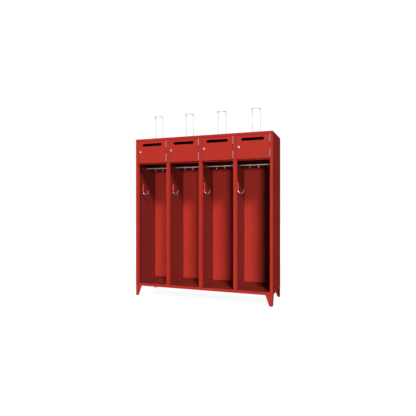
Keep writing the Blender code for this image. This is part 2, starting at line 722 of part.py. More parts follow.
def build_coat_hooks():
    """A bent bar in a sleeve on a wall plate, with a cap on its tip."""
    plate_front = SHEET + SEAT_GAP + COAT_PLATE
    bar_x = plate_front + COAT_SLEEVE_RADIUS - WELD_DEPTH
    sleeve_top = COAT_PLATE_TOP - COAT_SLEEVE_INSET
    plate_bottom = COAT_PLATE_TOP - COAT_PLATE_LENGTH
    sleeve_bottom = plate_bottom + COAT_SLEEVE_INSET
    bend_x = bar_x + COAT_BEND_RADIUS
    tip_x = bend_x + COAT_BEND_RADIUS
    tip_z = sleeve_bottom + COAT_TIP
    bend = arc((bend_x, sleeve_bottom), COAT_BEND_RADIUS, 180, 360)
    path = [(bar_x, (sleeve_top + sleeve_bottom) / 2), *bend, (tip_x, tip_z)]
    points = [(x, COAT_Y, z) for x, z in path]
    hook = meshed("coat_hook", wire_curve("coat_hook", points, COAT_BAR_RADIUS, 2), BRIGHT_WIRE)

    half_width = COAT_PLATE_WIDTH / 2
    back = mesh_object("wall_plate", box_shape(
        (plate_front - COAT_PLATE, COAT_Y - half_width, plate_bottom),
        (plate_front, COAT_Y + half_width, COAT_PLATE_TOP)), RED_PAINT, CUTTERS)
    combine(hook, back, "UNION")
    sleeve = round_bars("sleeve", COAT_SLEEVE_RADIUS,
                        [((bar_x, COAT_Y, sleeve_bottom), (bar_x, COAT_Y, sleeve_top))])
    combine(hook, sleeve, "UNION")
    cap_top = tip_z + COAT_CAP_CHAMFER
    cap_profile = (
        (0, cap_top),
        (COAT_SLEEVE_RADIUS - COAT_CAP_CHAMFER, cap_top),
        (COAT_SLEEVE_RADIUS, cap_top - COAT_CAP_CHAMFER),
        (COAT_SLEEVE_RADIUS, cap_top - COAT_CAP_LENGTH),
        (0, cap_top - COAT_CAP_LENGTH),
    )
    cap = turned("cap", cap_profile, RED_PAINT, collection=CUTTERS)
    cap.location = (tip_x, COAT_Y, 0)
    combine(hook, cap, "UNION")
    mesh = finished_mesh(hook)
    for bay in range(BAY_COUNT):
        place(f"coat_hook_{bay + 1}", mesh, BRIGHT_WIRE, in_bay(bay, (0, 0, 0)))


def holder_path():
    """An upright, a bend forward, a half ring and the same bend and upright back down."""
    half = HOLDER_SPREAD / 2
    top = BODY_TOP + HOLDER_HEIGHT - HOLDER_RADIUS
    bottom = BODY_TOP - SHEET - HOLDER_TAIL
    bend = arc((-HOLDER_BEND, top - HOLDER_BEND), HOLDER_BEND, 0, 90)
    upright = [(0, bottom), *bend]
    ring = arc((0, 0), half, 180, 360)[1:-1]
    left = [(-half, y, z) for y, z in upright]
    front = [(x, y - HOLDER_BEND, top) for x, y in ring]
    right = [(half, y, z) for y, z in reversed(upright)]
    return left + front + right


def build_helmet_holders():
    """A wire bow on the roof over each bay, held by a nut above and a nut below the sheet."""
    bow = meshed("helmet_holder", wire_curve("helmet_holder", holder_path(), HOLDER_RADIUS, 2),
                 BRIGHT_WIRE)
    above = BODY_TOP + SEAT_GAP
    below = BODY_TOP - SHEET - SEAT_GAP
    lines = [((side * HOLDER_SPREAD / 2, 0, start), (side * HOLDER_SPREAD / 2, 0, start + way))
             for side in (-1, 1) for start, way in ((above, NUT_HEIGHT), (below, -NUT_HEIGHT))]
    combine(bow, round_bars("nuts", NUT_RADIUS, lines, steps=6), "UNION")
    mesh = finished_mesh(bow, (0, 0, BODY_TOP))
    for bay in range(BAY_COUNT):
        place(f"helmet_holder_{bay + 1}", mesh, BRIGHT_WIRE, in_bay(bay, (HOLDER_X, HOLDER_Y, BODY_TOP)))


def leg_rows():
    """(height, width) rows of a leg plate: a rounded foot, a taper and a straight top."""
    half = LEG_SHEET / 2
    radius = LEG_CORNER_RADIUS
    rounding = arc((LEG_FOOT_WIDTH - radius, half + radius), radius, -90, 0, FOOT_STEP_DEG)
    top = FLOOR_LEVEL - SHEET - SEAT_GAP
    foot = [(height, width) for width, height in rounding]
    return foot + [(BODY_BOTTOM, LEG_TOP_WIDTH), (top, LEG_TOP_WIDTH)]


def leg_sheet(x_side, y_side):
    """One leg's middle surface about its corner: two tapered plates and the pad at the foot.

    The lowest row is cut away beside the corner, so that the pad and the corner fold apart.
    """
    half = LEG_SHEET / 2
    shape = bmesh.new()
    rows = []
    for height, width in leg_rows():
        reach = width - half
        flat = ((-reach, 0), (-FOOT_RELIEF, 0), (0, 0), (0, -FOOT_RELIEF), (0, -reach))
        rows.append([shape.verts.new((x_side * x, y_side * y, height)) for x, y in flat])
    for number, (lower, upper) in enumerate(zip(rows, rows[1:])):
        panels = (0, 3) if number == 0 else range(len(lower) - 1)
        for i in panels:
            shape.faces.new((lower[i], lower[i + 1], upper[i + 1], upper[i]))
    foot = shape.edges.get(rows[0][:2])
    pad = bmesh.ops.extrude_edge_only(shape, edges=[foot])["geom"]
    moved = [part for part in pad if isinstance(part, bmesh.types.BMVert)]
    bmesh.ops.translate(shape, vec=(0, -y_side * FOOT_PAD, 0), verts=moved)
    loose = [vert for vert in shape.verts if not vert.link_faces]
    bmesh.ops.delete(shape, geom=loose, context="VERTS")
    bmesh.ops.recalc_face_normals(shape, faces=shape.faces)
    return shape


def build_legs():
    """Four corner legs, each one sheet folded at the corner, inside the floor tray's rim."""
    half = LEG_SHEET / 2
    corner_x = RIGHT_X - SHEET - SEAT_GAP - half
    front_y = FRONT_Y + SHEET + SEAT_GAP + half
    back_y = INNER_BACK_Y - SHEET - SEAT_GAP - half
    for x_side, x_name in ((-1, "left"), (1, "right")):
        for y_side, corner_y, y_name in ((-1, front_y, "front"), (1, back_y, "back")):
            leg = mesh_object(f"leg_{y_name}_{x_name}", leg_sheet(x_side, y_side), RED_PAINT)
            leg.location = (x_side * corner_x, corner_y, 0)
            add_fold(leg, LEG_FOLD_RADIUS)
            add_thickness(leg, LEG_SHEET)


def main():
    """Builds the locker from the floor up."""
    build_legs()
    build_shell()
    build_walls()
    build_shelves()
    doors = build_doors()
    build_hinge_pins()
    build_locks(doors)
    build_rods()
    build_rod_hooks()
    build_coat_hooks()
    build_helmet_holders()


main()
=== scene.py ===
"""Firefighter gear locker: the finishes, the round pieces, the light and the camera.

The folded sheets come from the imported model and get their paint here. Bows, rods, hooks, locks and
pins are drawn anew as smooth surfaces, each in the place of its node and riding on the body that
carries it, and two weld beads are added. Lengths are metres; the front faces -Y and +Z is up.
"""

import json
import math

import bpy
import numpy as np
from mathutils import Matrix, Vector

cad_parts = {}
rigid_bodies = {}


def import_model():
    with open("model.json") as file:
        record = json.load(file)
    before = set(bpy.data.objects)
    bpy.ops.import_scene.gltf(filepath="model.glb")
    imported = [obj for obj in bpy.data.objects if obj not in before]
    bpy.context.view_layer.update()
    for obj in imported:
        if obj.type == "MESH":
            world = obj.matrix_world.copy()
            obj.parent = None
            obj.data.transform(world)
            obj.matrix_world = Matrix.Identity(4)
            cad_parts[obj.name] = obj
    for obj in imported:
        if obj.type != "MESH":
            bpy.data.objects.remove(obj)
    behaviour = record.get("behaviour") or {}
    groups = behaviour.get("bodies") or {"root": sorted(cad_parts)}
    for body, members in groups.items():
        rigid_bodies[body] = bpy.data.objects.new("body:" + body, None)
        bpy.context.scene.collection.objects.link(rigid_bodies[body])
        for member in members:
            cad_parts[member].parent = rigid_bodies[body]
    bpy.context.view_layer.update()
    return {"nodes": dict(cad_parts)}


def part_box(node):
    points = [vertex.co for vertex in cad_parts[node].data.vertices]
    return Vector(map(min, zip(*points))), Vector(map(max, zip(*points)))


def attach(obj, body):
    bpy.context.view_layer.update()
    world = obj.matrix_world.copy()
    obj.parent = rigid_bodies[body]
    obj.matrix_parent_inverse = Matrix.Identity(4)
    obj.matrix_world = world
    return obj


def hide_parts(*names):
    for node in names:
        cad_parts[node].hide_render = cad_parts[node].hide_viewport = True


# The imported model


def corners(box):
    """The two corners of a box as plain lists."""
    return [list(corner) for corner in box]


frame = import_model()
LOW, MIDDLE, HIGH = 0.0, 0.5, 1.0
DIGITS = 5


def place_of(node, share):
    """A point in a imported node's box, low + share * (high - low), to a hundredth of a millimetre."""
    low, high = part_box(node)
    return [round(value, DIGITS) for value in low + share * (high - low)]


# Layout of the bays
BAYS = (1, 2, 3, 4)
LEFT_X, FRONT_Y = place_of("side_panel_left", LOW)[:2]
RIGHT_X = place_of("side_panel_right", HIGH)[0]
BAY_PITCH = place_of("divider_2", HIGH)[0] - place_of("divider_1", HIGH)[0]
BACK_Y, ROOF_TOP = place_of("back_panel", HIGH)[1:]
ROOF_SHEET = 0.001
FLOOR_TOP = place_of("floor_tray", HIGH)[2]

# Helmet bows
BOW_BEND = 0.016
BOW_WIRE = 0.004
NUT_CORNER = 0.0075
BOW_FOOT = place_of("helmet_holder_1", LOW)[2]
BOW_INSIDE_BOX = 0.00001
BOW_TOP = place_of("helmet_holder_1", HIGH)[2] - BOW_WIRE - BOW_INSIDE_BOX
BOW_WIDTH = place_of("helmet_holder_1", HIGH)[0] - place_of("helmet_holder_1", LOW)[0]
BOW_HALF_SPREAD = BOW_WIDTH / 2 - NUT_CORNER
NUT_HEIGHT = 0.0055
NUT_FACE_SHARE = 0.985
NUT_CHAMFER_DEG = 30
WASHER_RADIUS = 0.0088
WASHER_HEIGHT = 0.0011
SEAT_GAP = 0.0001

# Clothes rods and their sliding hooks
ROD_RADIUS = 0.007
ROD_BORE = 0.0058
BOSS_RADIUS, BOSS_LENGTH = 0.010, 0.010
FLANGE_RADIUS, FLANGE_THICKNESS = 0.015, 0.002
ROD_EASE, FOOT_EASE = 0.0003, 0.0006
FLANGE_SCREW_CIRCLE = 0.0123
FLANGE_SCREW_RADIUS = 0.0019
HOOKS = (1, 2, 3)
HOOK_WIRE = 0.002
HOOK_EYE = 0.0096
HOOK_EYE_START_DEG = 232
HOOK_THROAT = 0.008
HOOK_DROP = 0.038
HOOK_TIP = 0.004

# Coat hooks; x is counted from the back of the plate
PLATE_THICKNESS = 0.002
PLATE_HALF_WIDTH = 0.010
PLATE_CORNER = 0.004
PLATE_HIGH = place_of("coat_hook_1", HIGH)[2]
PLATE_LENGTH = 0.098
PLATE_LOW = PLATE_HIGH - PLATE_LENGTH
PLATE_INSETS = (0.0003, 0, 0, 0.0002, 0.0006)
PLATE_LEVELS = (0, 0.0003, 0.0014, 0.0018, PLATE_THICKNESS)
PLATE_SCREW_SIDE, PLATE_SCREW_END = 0.0080, 0.0060
PLATE_SCREW_RADIUS = 0.0017
SLEEVE_X = 0.0082
SLEEVE_RADIUS = 0.0065
SLEEVE_SHORT_OF_PLATE = 0.003
SLEEVE_LOW, SLEEVE_HIGH = PLATE_LOW + SLEEVE_SHORT_OF_PLATE, PLATE_HIGH - SLEEVE_SHORT_OF_PLATE
SLEEVE_EASE = 0.0012
COAT_WIRE = 0.005
COAT_BEND = 0.032
CAP_LENGTH = 0.017
CAP_LOW, CAP_HIGH = PLATE_LOW, PLATE_LOW + CAP_LENGTH
CAP_EASE = 0.0035
COVER_FLAT = 0.0005
BAR_SHORT_OF_SLEEVE, BAR_SHORT_OF_CAP = 0.004, 0.003

# Screw heads, with shares of their radius and height
SCREW_HEIGHT = 0.0009
CROWN_SHARES = (1.0, 0.93, 0.82, 0.66)
SOCKET_SHARE = 0.50
SOCKET_FLOOR_SHARE = 0.96
SOCKET_LEVEL_SHARE = 0.3

# Cam locks; heights along a lock's axis are counted outwards from the front plane
COLLAR_RADIUS = 0.011
COLLAR_FOOT, COLLAR_FACE = 0.0003, 0.0033
COLLAR_SLOPE_WIDTH, COLLAR_SLOPE_HEIGHT = 0.0014, 0.0012
COLLAR_EASE = 0.0005
BARREL_RADIUS = 0.0095
BARREL_END = -0.0183
LOCK_NUT_CORNER = 0.0138
LOCK_NUT_BACK, LOCK_NUT_HEIGHT = -0.0053, 0.0040
PLUG_RADIUS = 0.0065
PLUG_BORE = 0.0068
PLUG_FACE = 0.0027
PLUG_EASE = 0.0004
KEYWAY_HALF_WIDTH, KEYWAY_HALF_LENGTH = 0.0009, 0.0035
KEYWAY_DEPTH = 0.003
CAM_FRONT, CAM_BACK = -0.0186, -0.0206
CAM_HUB, CAM_TIP, CAM_REACH = 0.008, 0.006, 0.024
CAM_EASE = 0.0003
SPINDLE_RADIUS = 0.004
SPINDLE_END = -0.0209

# Welds in the floor's back corners
WELD_START = BACK_Y - 0.0040
WELD_INSET = 0.0020
WELD_LENGTH = 0.040
WELD_RADIUS = 0.0013
WELD_LIFT = 0.0016
WELD_RIPPLE, WELD_RIPPLE_PITCH = 0.0002, 0.0030
WELD_END_SHARE = 0.9
WELD_ROWS, WELD_AROUND = 24, 16

# Hinge pins and knuckles
PIN_HEAD_RADIUS = 0.0052
PIN_HEAD_FOOT, PIN_HEAD_TOP = 0.0813, 0.0828
PIN_SHANK = 0.0033
PIN_FLAT = 0.0008
PIN_EASE = 0.0010

# Depths and heights over which the masks on the paint rise
WALL_RISE = (FRONT_Y + 0.0180, FRONT_Y + 0.0202)
BACK_RISE = (BACK_Y - 0.0040, BACK_Y - 0.0035)
FLOOR_RISE = (FLOOR_TOP - 0.0015, FLOOR_TOP - 0.0003)
KNUCKLE_PLANE = FRONT_Y - 0.0004

# Colours of the finishes
RED = (0.500, 0.0330, 0.0215, 1.0)
# The next two colours are painted shade: the bay walls and the right side panel are made darker than
# the fronts, as the light falls on them
RED_WALL_SHADE = (0.345, 0.0292, 0.0215, 1.0)
RED_SIDE_SHADE = (0.415, 0.0300, 0.0210, 1.0)
# The next colour is painted light: the back panel is made lighter than the doors, as the light falls
# on it
RED_BACK_LIGHTENED = (0.535, 0.0355, 0.0240, 1.0)
RED_RUBBED = (0.270, 0.0270, 0.0210, 1.0)
# The next colour is dirt and painted shade: the floor tray's top is made darker, partly as the light
# falls on it
RED_DUST_AND_SHADE = (0.190, 0.0215, 0.0162, 1.0)
RED_WELD = (0.440, 0.0290, 0.0190, 1.0)
VINYL = (0.640, 0.0330, 0.0240, 1.0)
ZINC = (0.250, 0.246, 0.238, 1.0)
BRIGHT = (0.570, 0.565, 0.558, 1.0)
SATIN = (0.610, 0.605, 0.598, 1.0)
STEEL = (0.795, 0.789, 0.778, 1.0)
CHROME = (0.820, 0.810, 0.790, 1.0)
# The next colour is grime and painted shade, which darkens the keyways
GRIME_AND_SHADE = (0.030, 0.027, 0.024, 1.0)
WHITE = (1.0, 1.0, 1.0, 1.0)

# Spans of a noise or a height that the effects use, and the roughness that they lead to
NOISE_SPAN = (0.3, 0.7)
PAINT_SPAN, PAINT_ROUGHNESS = (0.3, 1.0), (0.38, 0.47)
VINYL_SPAN, VINYL_ROUGHNESS = (0.3, 0.8), (0.26, 0.36)
SATIN_ROUGHNESS = (0.54, 0.58)
WIRE_ROUGHNESS = (0.36, 0.40)
ZINC_ROUGHNESS = (0.46, 0.60)
CHROME_ROUGHNESS = (0.18, 0.28)
WIRE_LINES = (60.0, 9.0, 9.0)
ZINC_LINES = (300.0, 6.0, 6.0)
CHROME_LINES = (400.0, 3.0, 3.0)
METAL_CLOUDS = 45.0
# The next length is how soon the keyway's grime and painted shade sets in
GRIME_AND_SHADE_FADE = 0.0004

# Shine and relief
PAINT_SHINE, VINYL_SHINE = 0.11, 0.35
PAINT_RELIEF, VINYL_RELIEF, METAL_RELIEF = 0.00003, 0.00004, 0.000006

# Marks
GRAIN_FINENESS = 4.0
STREAK_SPAN, PATCH_SPAN = (0.60, 0.72), (0.0, 0.15)
PATCH_SCALE, PATCH_SHARE = 6.0, 0.6
SPOT_SPAN = (0.0035, 0.0022)
SPOT_START_X, SPOT_PITCH_Z = LEFT_X + 0.0095, 0.115
SPOT_SHARE, SPOT_DENT = 0.6, -6.0
# The next share sets how much of that dirt and painted shade covers the floor's top
DUST_AND_SHADE_SHARE = 0.85
RUB_SHARE, RUB_ROUGHER = 0.55, 0.15
BARE_ROUGHER = 0.14

# Points along and around the pieces, and the angles past which an edge stays sharp
AROUND = 32
END_ROWS = 4
HEXAGON_AROUND = 48
SCREW_AROUND = 24
PIN_AROUND = 24
HOOK_AROUND = 20
PLUG_AROUND = 44
PLUG_TURN_START = 0.02
EASE_POINTS, CAP_POINTS = 4, 7
FRAME_CORNER_POINTS = 7
BOW_RISE_POINTS, BOW_BEND_POINTS, BOW_RING_POINTS = 16, 13, 41
HOOK_EYE_POINTS, HOOK_SHANK_POINTS, HOOK_THROAT_POINTS = 40, 8, 28
SLEEVE_POINTS, COAT_BEND_POINTS = 12, 40
CAM_HUB_POINTS, CAM_TIP_POINTS = 20, 16
TINY = 1e-6
FINE_EDGE_DEG = 35
SHEET_FOLD_DEG = 50
MERGE_DISTANCE = 0.00001

# Camera and light
CAMERA_PLACE = (1.5286, -4.27635, 1.045)
CAMERA_TURN_DEG = 19.57
CAMERA_LENS = 33.352
CAMERA_SHIFT = -0.0017
CAMERA_REACH = 100.0
LIGHT_TARGET = (0.0, 0.0, 1.0)
LIGHT_DISTANCE = 90.0
BACKDROP = 1.05
FRONT_SHEEN, BACK_SHEEN = 0.70, 0.02
FRONT_SHEEN_END, BACK_SHEEN_START = -0.1, 0.5
AMBIENT = 0.005
FLOOR_TONE = 0.14
FLOOR_GLOW = 0.93
FLOOR_NEAR, FLOOR_FAR = 1.6, 4.5
FLOOR_RINGS = (0.05, 1.0, 3.0, 8.0, 20.0)
FLOOR_AROUND = 64

# Paint of the sheets by the start of their names; the others are plain
SHEET_PAINTS = (
    ("door_", "door"),
    ("divider_", "hinged_wall"),
    ("side_panel_right", "hinged_side"),
    ("side_panel_left", "wall"),
    ("leg_", "trodden"),
    ("floor_tray", "trodden"),
    ("back_panel", "welded"),
)

# Each lamp's name, azimuth, elevation and width in degrees, and strength
LAMPS = (
    ("key_lamp", 29.5, 40.0, 10.6, 2.52),
    ("fill_lamp", 21.0, 3.5, 10.6, 1.40),
    ("left_lamp", 300.0, 20.0, 17.0, 0.12),
    ("back_lamp", 215.0, 35.0, 17.0, 2.60),
)


# Surfaces


def circle(steps=AROUND):
    """Angles of a full turn in equal steps."""
    return np.linspace(0, 2 * np.pi, steps, endpoint=False)


def arc(center, radius, start_deg, end_deg, count):
    """Points center + radius * (cos a, sin a) for angles a in equal steps, both ends included."""
    angle = np.radians(np.linspace(start_deg, end_deg, count))
    return np.array(center) + radius * np.stack([np.cos(angle), np.sin(angle)], axis=1)


def unit(vectors):
    """Each row divided by its own length."""
    return vectors / np.linalg.norm(vectors, axis=-1, keepdims=True)


def eased(profile, reach, steps=EASE_POINTS):
    """A profile whose inner corners are rounded.

    A corner c becomes the curve (1 - t)^2 p + 2 t (1 - t) c + t^2 q. Points p and q lie on its two
    sides, a reach away from it, or half a side's length where that is less.
    """
    profile = np.asarray(profile, float)
    before, corner, after = profile[:-2], profile[1:-1], profile[2:]
    room_in = np.linalg.norm(before - corner, axis=1, keepdims=True)
    room_out = np.linalg.norm(after - corner, axis=1, keepdims=True)
    start = corner + (before - corner) * np.minimum(reach / room_in, 0.5)
    stop = corner + (after - corner) * np.minimum(reach / room_out, 0.5)
    t = np.linspace(0, 1, steps)[None, :, None]
    bend = (1 - t) ** 2 * start[:, None] + 2 * t * (1 - t) * corner[:, None] + t**2 * stop[:, None]
    return np.concatenate([profile[:1], bend.reshape(-1, 2), profile[-1:]])


def around_axis(radius, level, base, axis, side, turn):
    """Points base + level * axis + radius * (cos t * side + sin t * other) for each row and turn t.

    The other direction is square to the axis and the side.
    """
    axis, side = np.array(axis, float), np.array(side, float)
    out = np.cos(turn)[:, None] * side + np.sin(turn)[:, None] * np.cross(axis, side)
    return np.array(base) + level[..., None] * axis + radius[..., None] * out


def turned(profile, base, axis, side, steps=AROUND):
    """A profile of (radius, height) rows turned about an axis, listed from its low end upwards."""
    radius, height = np.asarray(profile, float).T
    return around_axis(radius[:, None], height[:, None], base, axis, side, circle(steps))


def carried(path, facing, radius, steps=AROUND, round_share=0.5):
    """A round section carried along a path.

    Row i is path_i + r_i * (cos t * n_i + sin t * b_i): n_i is the facing direction made square to
    the path, and b_i is square to both. Over the last e = round_share * radius at each end, at the
    depth e (1 - cos a), the radius is radius - e (1 - sin a), a quarter round.
    """
    path, facing = np.asarray(path, float), np.asarray(facing, float)
    last = len(path) - 1
    tangent = unit(np.gradient(path, axis=0))
    angle = np.radians(np.linspace(0, 90, END_ROWS))
    depth = round_share * radius * (1 - np.cos(angle))[:, None]
    small = radius - round_share * radius * (1 - np.sin(angle))
    rows = np.concatenate([np.zeros(END_ROWS, int), np.arange(1, last), np.full(END_ROWS, last)])
    middle = path[rows]
    middle[:END_ROWS] += depth * tangent[0]
    middle[-END_ROWS:] -= depth[::-1] * tangent[-1]
    width = np.concatenate([small, np.full(last - 1, radius), small[::-1]])
    binormal = unit(np.cross(tangent[rows], facing[rows]))
    normal = np.cross(binormal, tangent[rows])
    turn = circle(steps)[None, :, None]
    ring = np.cos(turn) * normal[:, None] + np.sin(turn) * binormal[:, None]
    return middle[:, None] + width[:, None, None] * ring


def stacked(outlines, levels, base, axis, side):
    """Rows base + level * axis + u * side + v * other, from one (u, v) outline for each level."""
    axis, side = np.array(axis, float), np.array(side, float)
    outlines, levels = np.array(outlines), np.array(levels)[:, None, None]
    flat = outlines[..., :1] * side + outlines[..., 1:] * np.cross(axis, side)
    return np.array(base) + levels * axis + flat


def rounded_frame(half_width, half_length, corner):
    """Outline of a rectangle with round corners, anticlockwise: four quarter arcs in turn."""
    wide, long = half_width - corner, half_length - corner
    centers = ((wide, long), (-wide, long), (-wide, -long), (wide, -long))
    quarters = [arc(center, corner, 90 * turn, 90 * (turn + 1), FRAME_CORNER_POINTS)
                for turn, center in enumerate(centers)]
    return np.concatenate(quarters)


def hexagon(corner, turn):
    """Distance from the middle to a hexagon's edge: apothem / cos a, a the angle off each flat."""
    off_flat = (turn + np.pi / 6) % (np.pi / 3) - np.pi / 6
    return corner * math.cos(math.pi / 6) / np.cos(off_flat)


def hex_nut(base, axis, side, corner, height, bore):
    """A hexagonal nut as a ring of rows: bore, face, edge, edge, face, bore.

    The edge rows lie at the hexagon's own radius. The faces are a circle just inside the flats,
    and outside it both faces fall away at the chamfer's angle.
    """
    turn = circle(HEXAGON_AROUND)
    edge = hexagon(corner, turn)
    face = np.full(len(turn), NUT_FACE_SHARE * edge.min())
    fall = (edge - face) * math.tan(math.radians(NUT_CHAMFER_DEG))
    inner, zero = np.full(len(turn), bore), np.zeros(len(turn))
    radius = np.stack([inner, face, edge, edge, face, inner])
    level = np.stack([zero, zero, fall, height - fall, zero + height, zero + height])
    return around_axis(radius, level, base, axis, side, turn), True


def washer(base, axis, side, radius, height, bore):
    """A flat ring with eased rims, turned as a closed ring of rows."""
    rim = height / 4
    profile = ((bore, 0), (radius - rim, 0), (radius, rim), (radius, height - rim),
               (radius - rim, height), (bore, height))
    return turned(profile, base, axis, side), True


def socket_screw(base, axis, side, radius, height):
    """A low round screw head, rows from its rim over the crown and down a hexagonal socket.

    The crown is height * (1 - s^2) high at the share s of the radius, stretched to reach its full
    height at the socket's rim.
    """
    turn = circle(SCREW_AROUND)
    share = np.array(CROWN_SHARES)[:, None]
    crown = height * (1 - share**2) / (1 - share[-1] ** 2)
    socket = hexagon(SOCKET_SHARE * radius, turn)
    even = np.ones(len(turn))
    radii = np.concatenate([share * radius * even, [socket, SOCKET_FLOOR_SHARE * socket]])
    levels = np.concatenate([crown * even, [height * even, SOCKET_LEVEL_SHARE * height * even]])
    return around_axis(radii, levels, base, axis, side, turn)


# Pieces


def grid_faces(rows, cols, ring, first):
    """Quads between neighbours of a grid whose columns close on themselves, as four columns."""
    i = np.arange(rows if ring else rows - 1)[:, None]
    j = np.arange(cols)[None, :]
    up, across = (i + 1) % rows, (j + 1) % cols
    corners = [i * cols + j, i * cols + across, up * cols + across, up * cols + j]
    return np.stack(corners, axis=-1).reshape(-1, 4) + first


def course(grid):
    """For each point its distance along the rows and the cosine and sine of its turn round them."""
    middle = grid.mean(axis=1)
    steps = np.linalg.norm(np.diff(middle, axis=0), axis=1)
    along = np.concatenate([[0], np.cumsum(steps)])[:, None]
    turn = circle(grid.shape[1])[None, :]
    even = np.ones(grid.shape[:2])
    return np.stack([along * even, np.cos(turn) * even, np.sin(turn) * even], axis=-1)


def piece(name, surfaces, material, body, replaced=()):
    """One object from surfaces, each a grid of points whose columns close on themselves.

    A surface's first and last rows are closed with flat ends, or with each other where it is given
    as (grid, True). The attribute course holds what course() gives.
    """
    points, faces, marks, count = [], [], [], 0
    for surface in surfaces:
        grid, ring = surface if isinstance(surface, tuple) else (surface, False)
        rows, cols = grid.shape[:2]
        faces += grid_faces(rows, cols, ring, count).tolist()
        if not ring:
            faces.append(np.arange(count, count + cols)[::-1].tolist())
            faces.append(np.arange(count + (rows - 1) * cols, count + rows * cols).tolist())
        points.append(grid.reshape(-1, 3))
        marks.append(course(grid).reshape(-1, 3))
        count += rows * cols
    mesh = bpy.data.meshes.new(name)
    mesh.from_pydata(np.concatenate(points).tolist(), [], faces)
    mesh.attributes.new("course", "FLOAT_VECTOR", "POINT")
    mesh.attributes["course"].data.foreach_set("vector", np.concatenate(marks).ravel())
    mesh.shade_smooth()
    mesh.set_sharp_from_angle(angle=math.radians(FINE_EDGE_DEG))
    mesh.materials.append(material)
    item = bpy.data.objects.new(name, mesh)
    bpy.context.scene.collection.objects.link(item)
    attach(item, body)
    if replaced:
        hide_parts(*replaced)


def bow_path():
    """Upright, bend forward, half ring, bend and upright, with the direction that faces inwards.

    In the uprights and bends that direction is across the bow; round the ring it points at the
    ring's middle.
    """
    bend = arc((-BOW_BEND, BOW_TOP - BOW_BEND), BOW_BEND, 0, 90, BOW_BEND_POINTS)
    rise = np.linspace((0, BOW_FOOT), (0, BOW_TOP - BOW_BEND), BOW_RISE_POINTS)[:-1]
    side = np.concatenate([rise, bend])
    ring = arc((0, 0), BOW_HALF_SPREAD, 180, 360, BOW_RING_POINTS)[1:-1]
    reach = np.full((len(side), 1), BOW_HALF_SPREAD)
    left = np.hstack([-reach, side])
    front = np.column_stack([ring[:, 0], ring[:, 1] - BOW_BEND, np.full(len(ring), BOW_TOP)])
    right = np.hstack([reach, side])[::-1]
    inward_left = np.tile((1.0, 0, 0), (len(side), 1))
    inward_front = np.column_stack([-unit(ring), np.zeros(len(ring))])
    facing = np.concatenate([inward_left, inward_front, -inward_left])
    return np.concatenate([left, front, right]), facing


def helmet_bows(wire, zinc):
    """The wire bow over each bay, and its nuts and washers above and below the roof."""
    path, facing = bow_path()
    up, across = (0, 0, 1), (1, 0, 0)
    for bay in BAYS:
        node = f"helmet_holder_{bay}"
        base = np.array([place_of(node, MIDDLE)[0], place_of(node, HIGH)[1] - NUT_CORNER, 0])
        bow = carried(path + base, facing, BOW_WIRE)
        piece(f"helmet_bow_{bay}", [bow], wire, "locker", [node])
        fixings = []
        for reach in (-BOW_HALF_SPREAD, BOW_HALF_SPREAD):
            foot = base + (reach, 0, 0)
            for face, way in ((ROOF_TOP, 1), (ROOF_TOP - ROOF_SHEET, -1)):
                axis = np.array(up) * way
                seat = foot + (0, 0, face) + axis * SEAT_GAP
                lift = axis * (WASHER_HEIGHT + SEAT_GAP)
                fixings.append(washer(seat, axis, across, WASHER_RADIUS, WASHER_HEIGHT, BOW_WIRE))
                fixings.append(hex_nut(seat + lift, axis, across, NUT_CORNER, NUT_HEIGHT, BOW_WIRE))
        piece(f"bow_nuts_{bay}", fixings, zinc, "locker")


def clothes_rods(wire, paint, zinc):
    """The tube across each bay, and its painted feet with three screws in each flange."""
    across, up = (1, 0, 0), (0, 0, 1)
    foot = eased([
        (ROD_RADIUS, 0),
        (FLANGE_RADIUS, 0),
        (FLANGE_RADIUS, FLANGE_THICKNESS),
        (BOSS_RADIUS, FLANGE_THICKNESS),
        (BOSS_RADIUS, BOSS_LENGTH),
        (ROD_RADIUS, BOSS_LENGTH),
    ], FOOT_EASE)
    for bay in BAYS:
        node = f"clothes_rod_{bay}"
        left, right = place_of(node, LOW)[0], place_of(node, HIGH)[0]
        rod_y, rod_z = place_of(node, MIDDLE)[1:]
        length = right - left
        tube = eased([
            (ROD_BORE, 0),
            (ROD_RADIUS, 0),
            (ROD_RADIUS, BOSS_LENGTH),
            (ROD_RADIUS, length - BOSS_LENGTH),
            (ROD_RADIUS, length),
            (ROD_BORE, length),
        ], ROD_EASE)
        rod = turned(tube, (left, rod_y, rod_z), across, up)
        piece(f"rod_{bay}", [(rod, True)], wire, "locker", [node])
        feet, heads = [], []
        for end, way in ((left, 1), (right, -1)):
            axis = (way, 0, 0)
            feet.append((turned(foot, (end, rod_y, rod_z), axis, up), True))
            for y, z in arc((rod_y, rod_z), FLANGE_SCREW_CIRCLE, 90, 330, 3):
                place = (end + way * FLANGE_THICKNESS, y, z)
                heads.append(socket_screw(place, axis, up, FLANGE_SCREW_RADIUS, SCREW_HEIGHT))
        piece(f"rod_feet_{bay}", feet, paint, "locker", [node])
        piece(f"rod_screws_{bay}", heads, zinc, "locker")


def rod_hook_path():
    """Points (y, z) of a sliding hook about the rod's axis: an open eye, a shank and a throat."""
    throat_z = HOOK_WIRE + HOOK_THROAT - HOOK_DROP
    throat_y = HOOK_EYE - HOOK_THROAT
    eye = arc((0, 0), HOOK_EYE, HOOK_EYE_START_DEG, 0, HOOK_EYE_POINTS)
    shank = np.linspace(eye[-1], (HOOK_EYE, throat_z), HOOK_SHANK_POINTS)[1:-1]
    throat = arc((throat_y, throat_z), HOOK_THROAT, 0, -180, HOOK_THROAT_POINTS)
    tip = [(throat_y - HOOK_THROAT, throat_z + HOOK_TIP)]
    return np.concatenate([eye, shank, throat, tip])


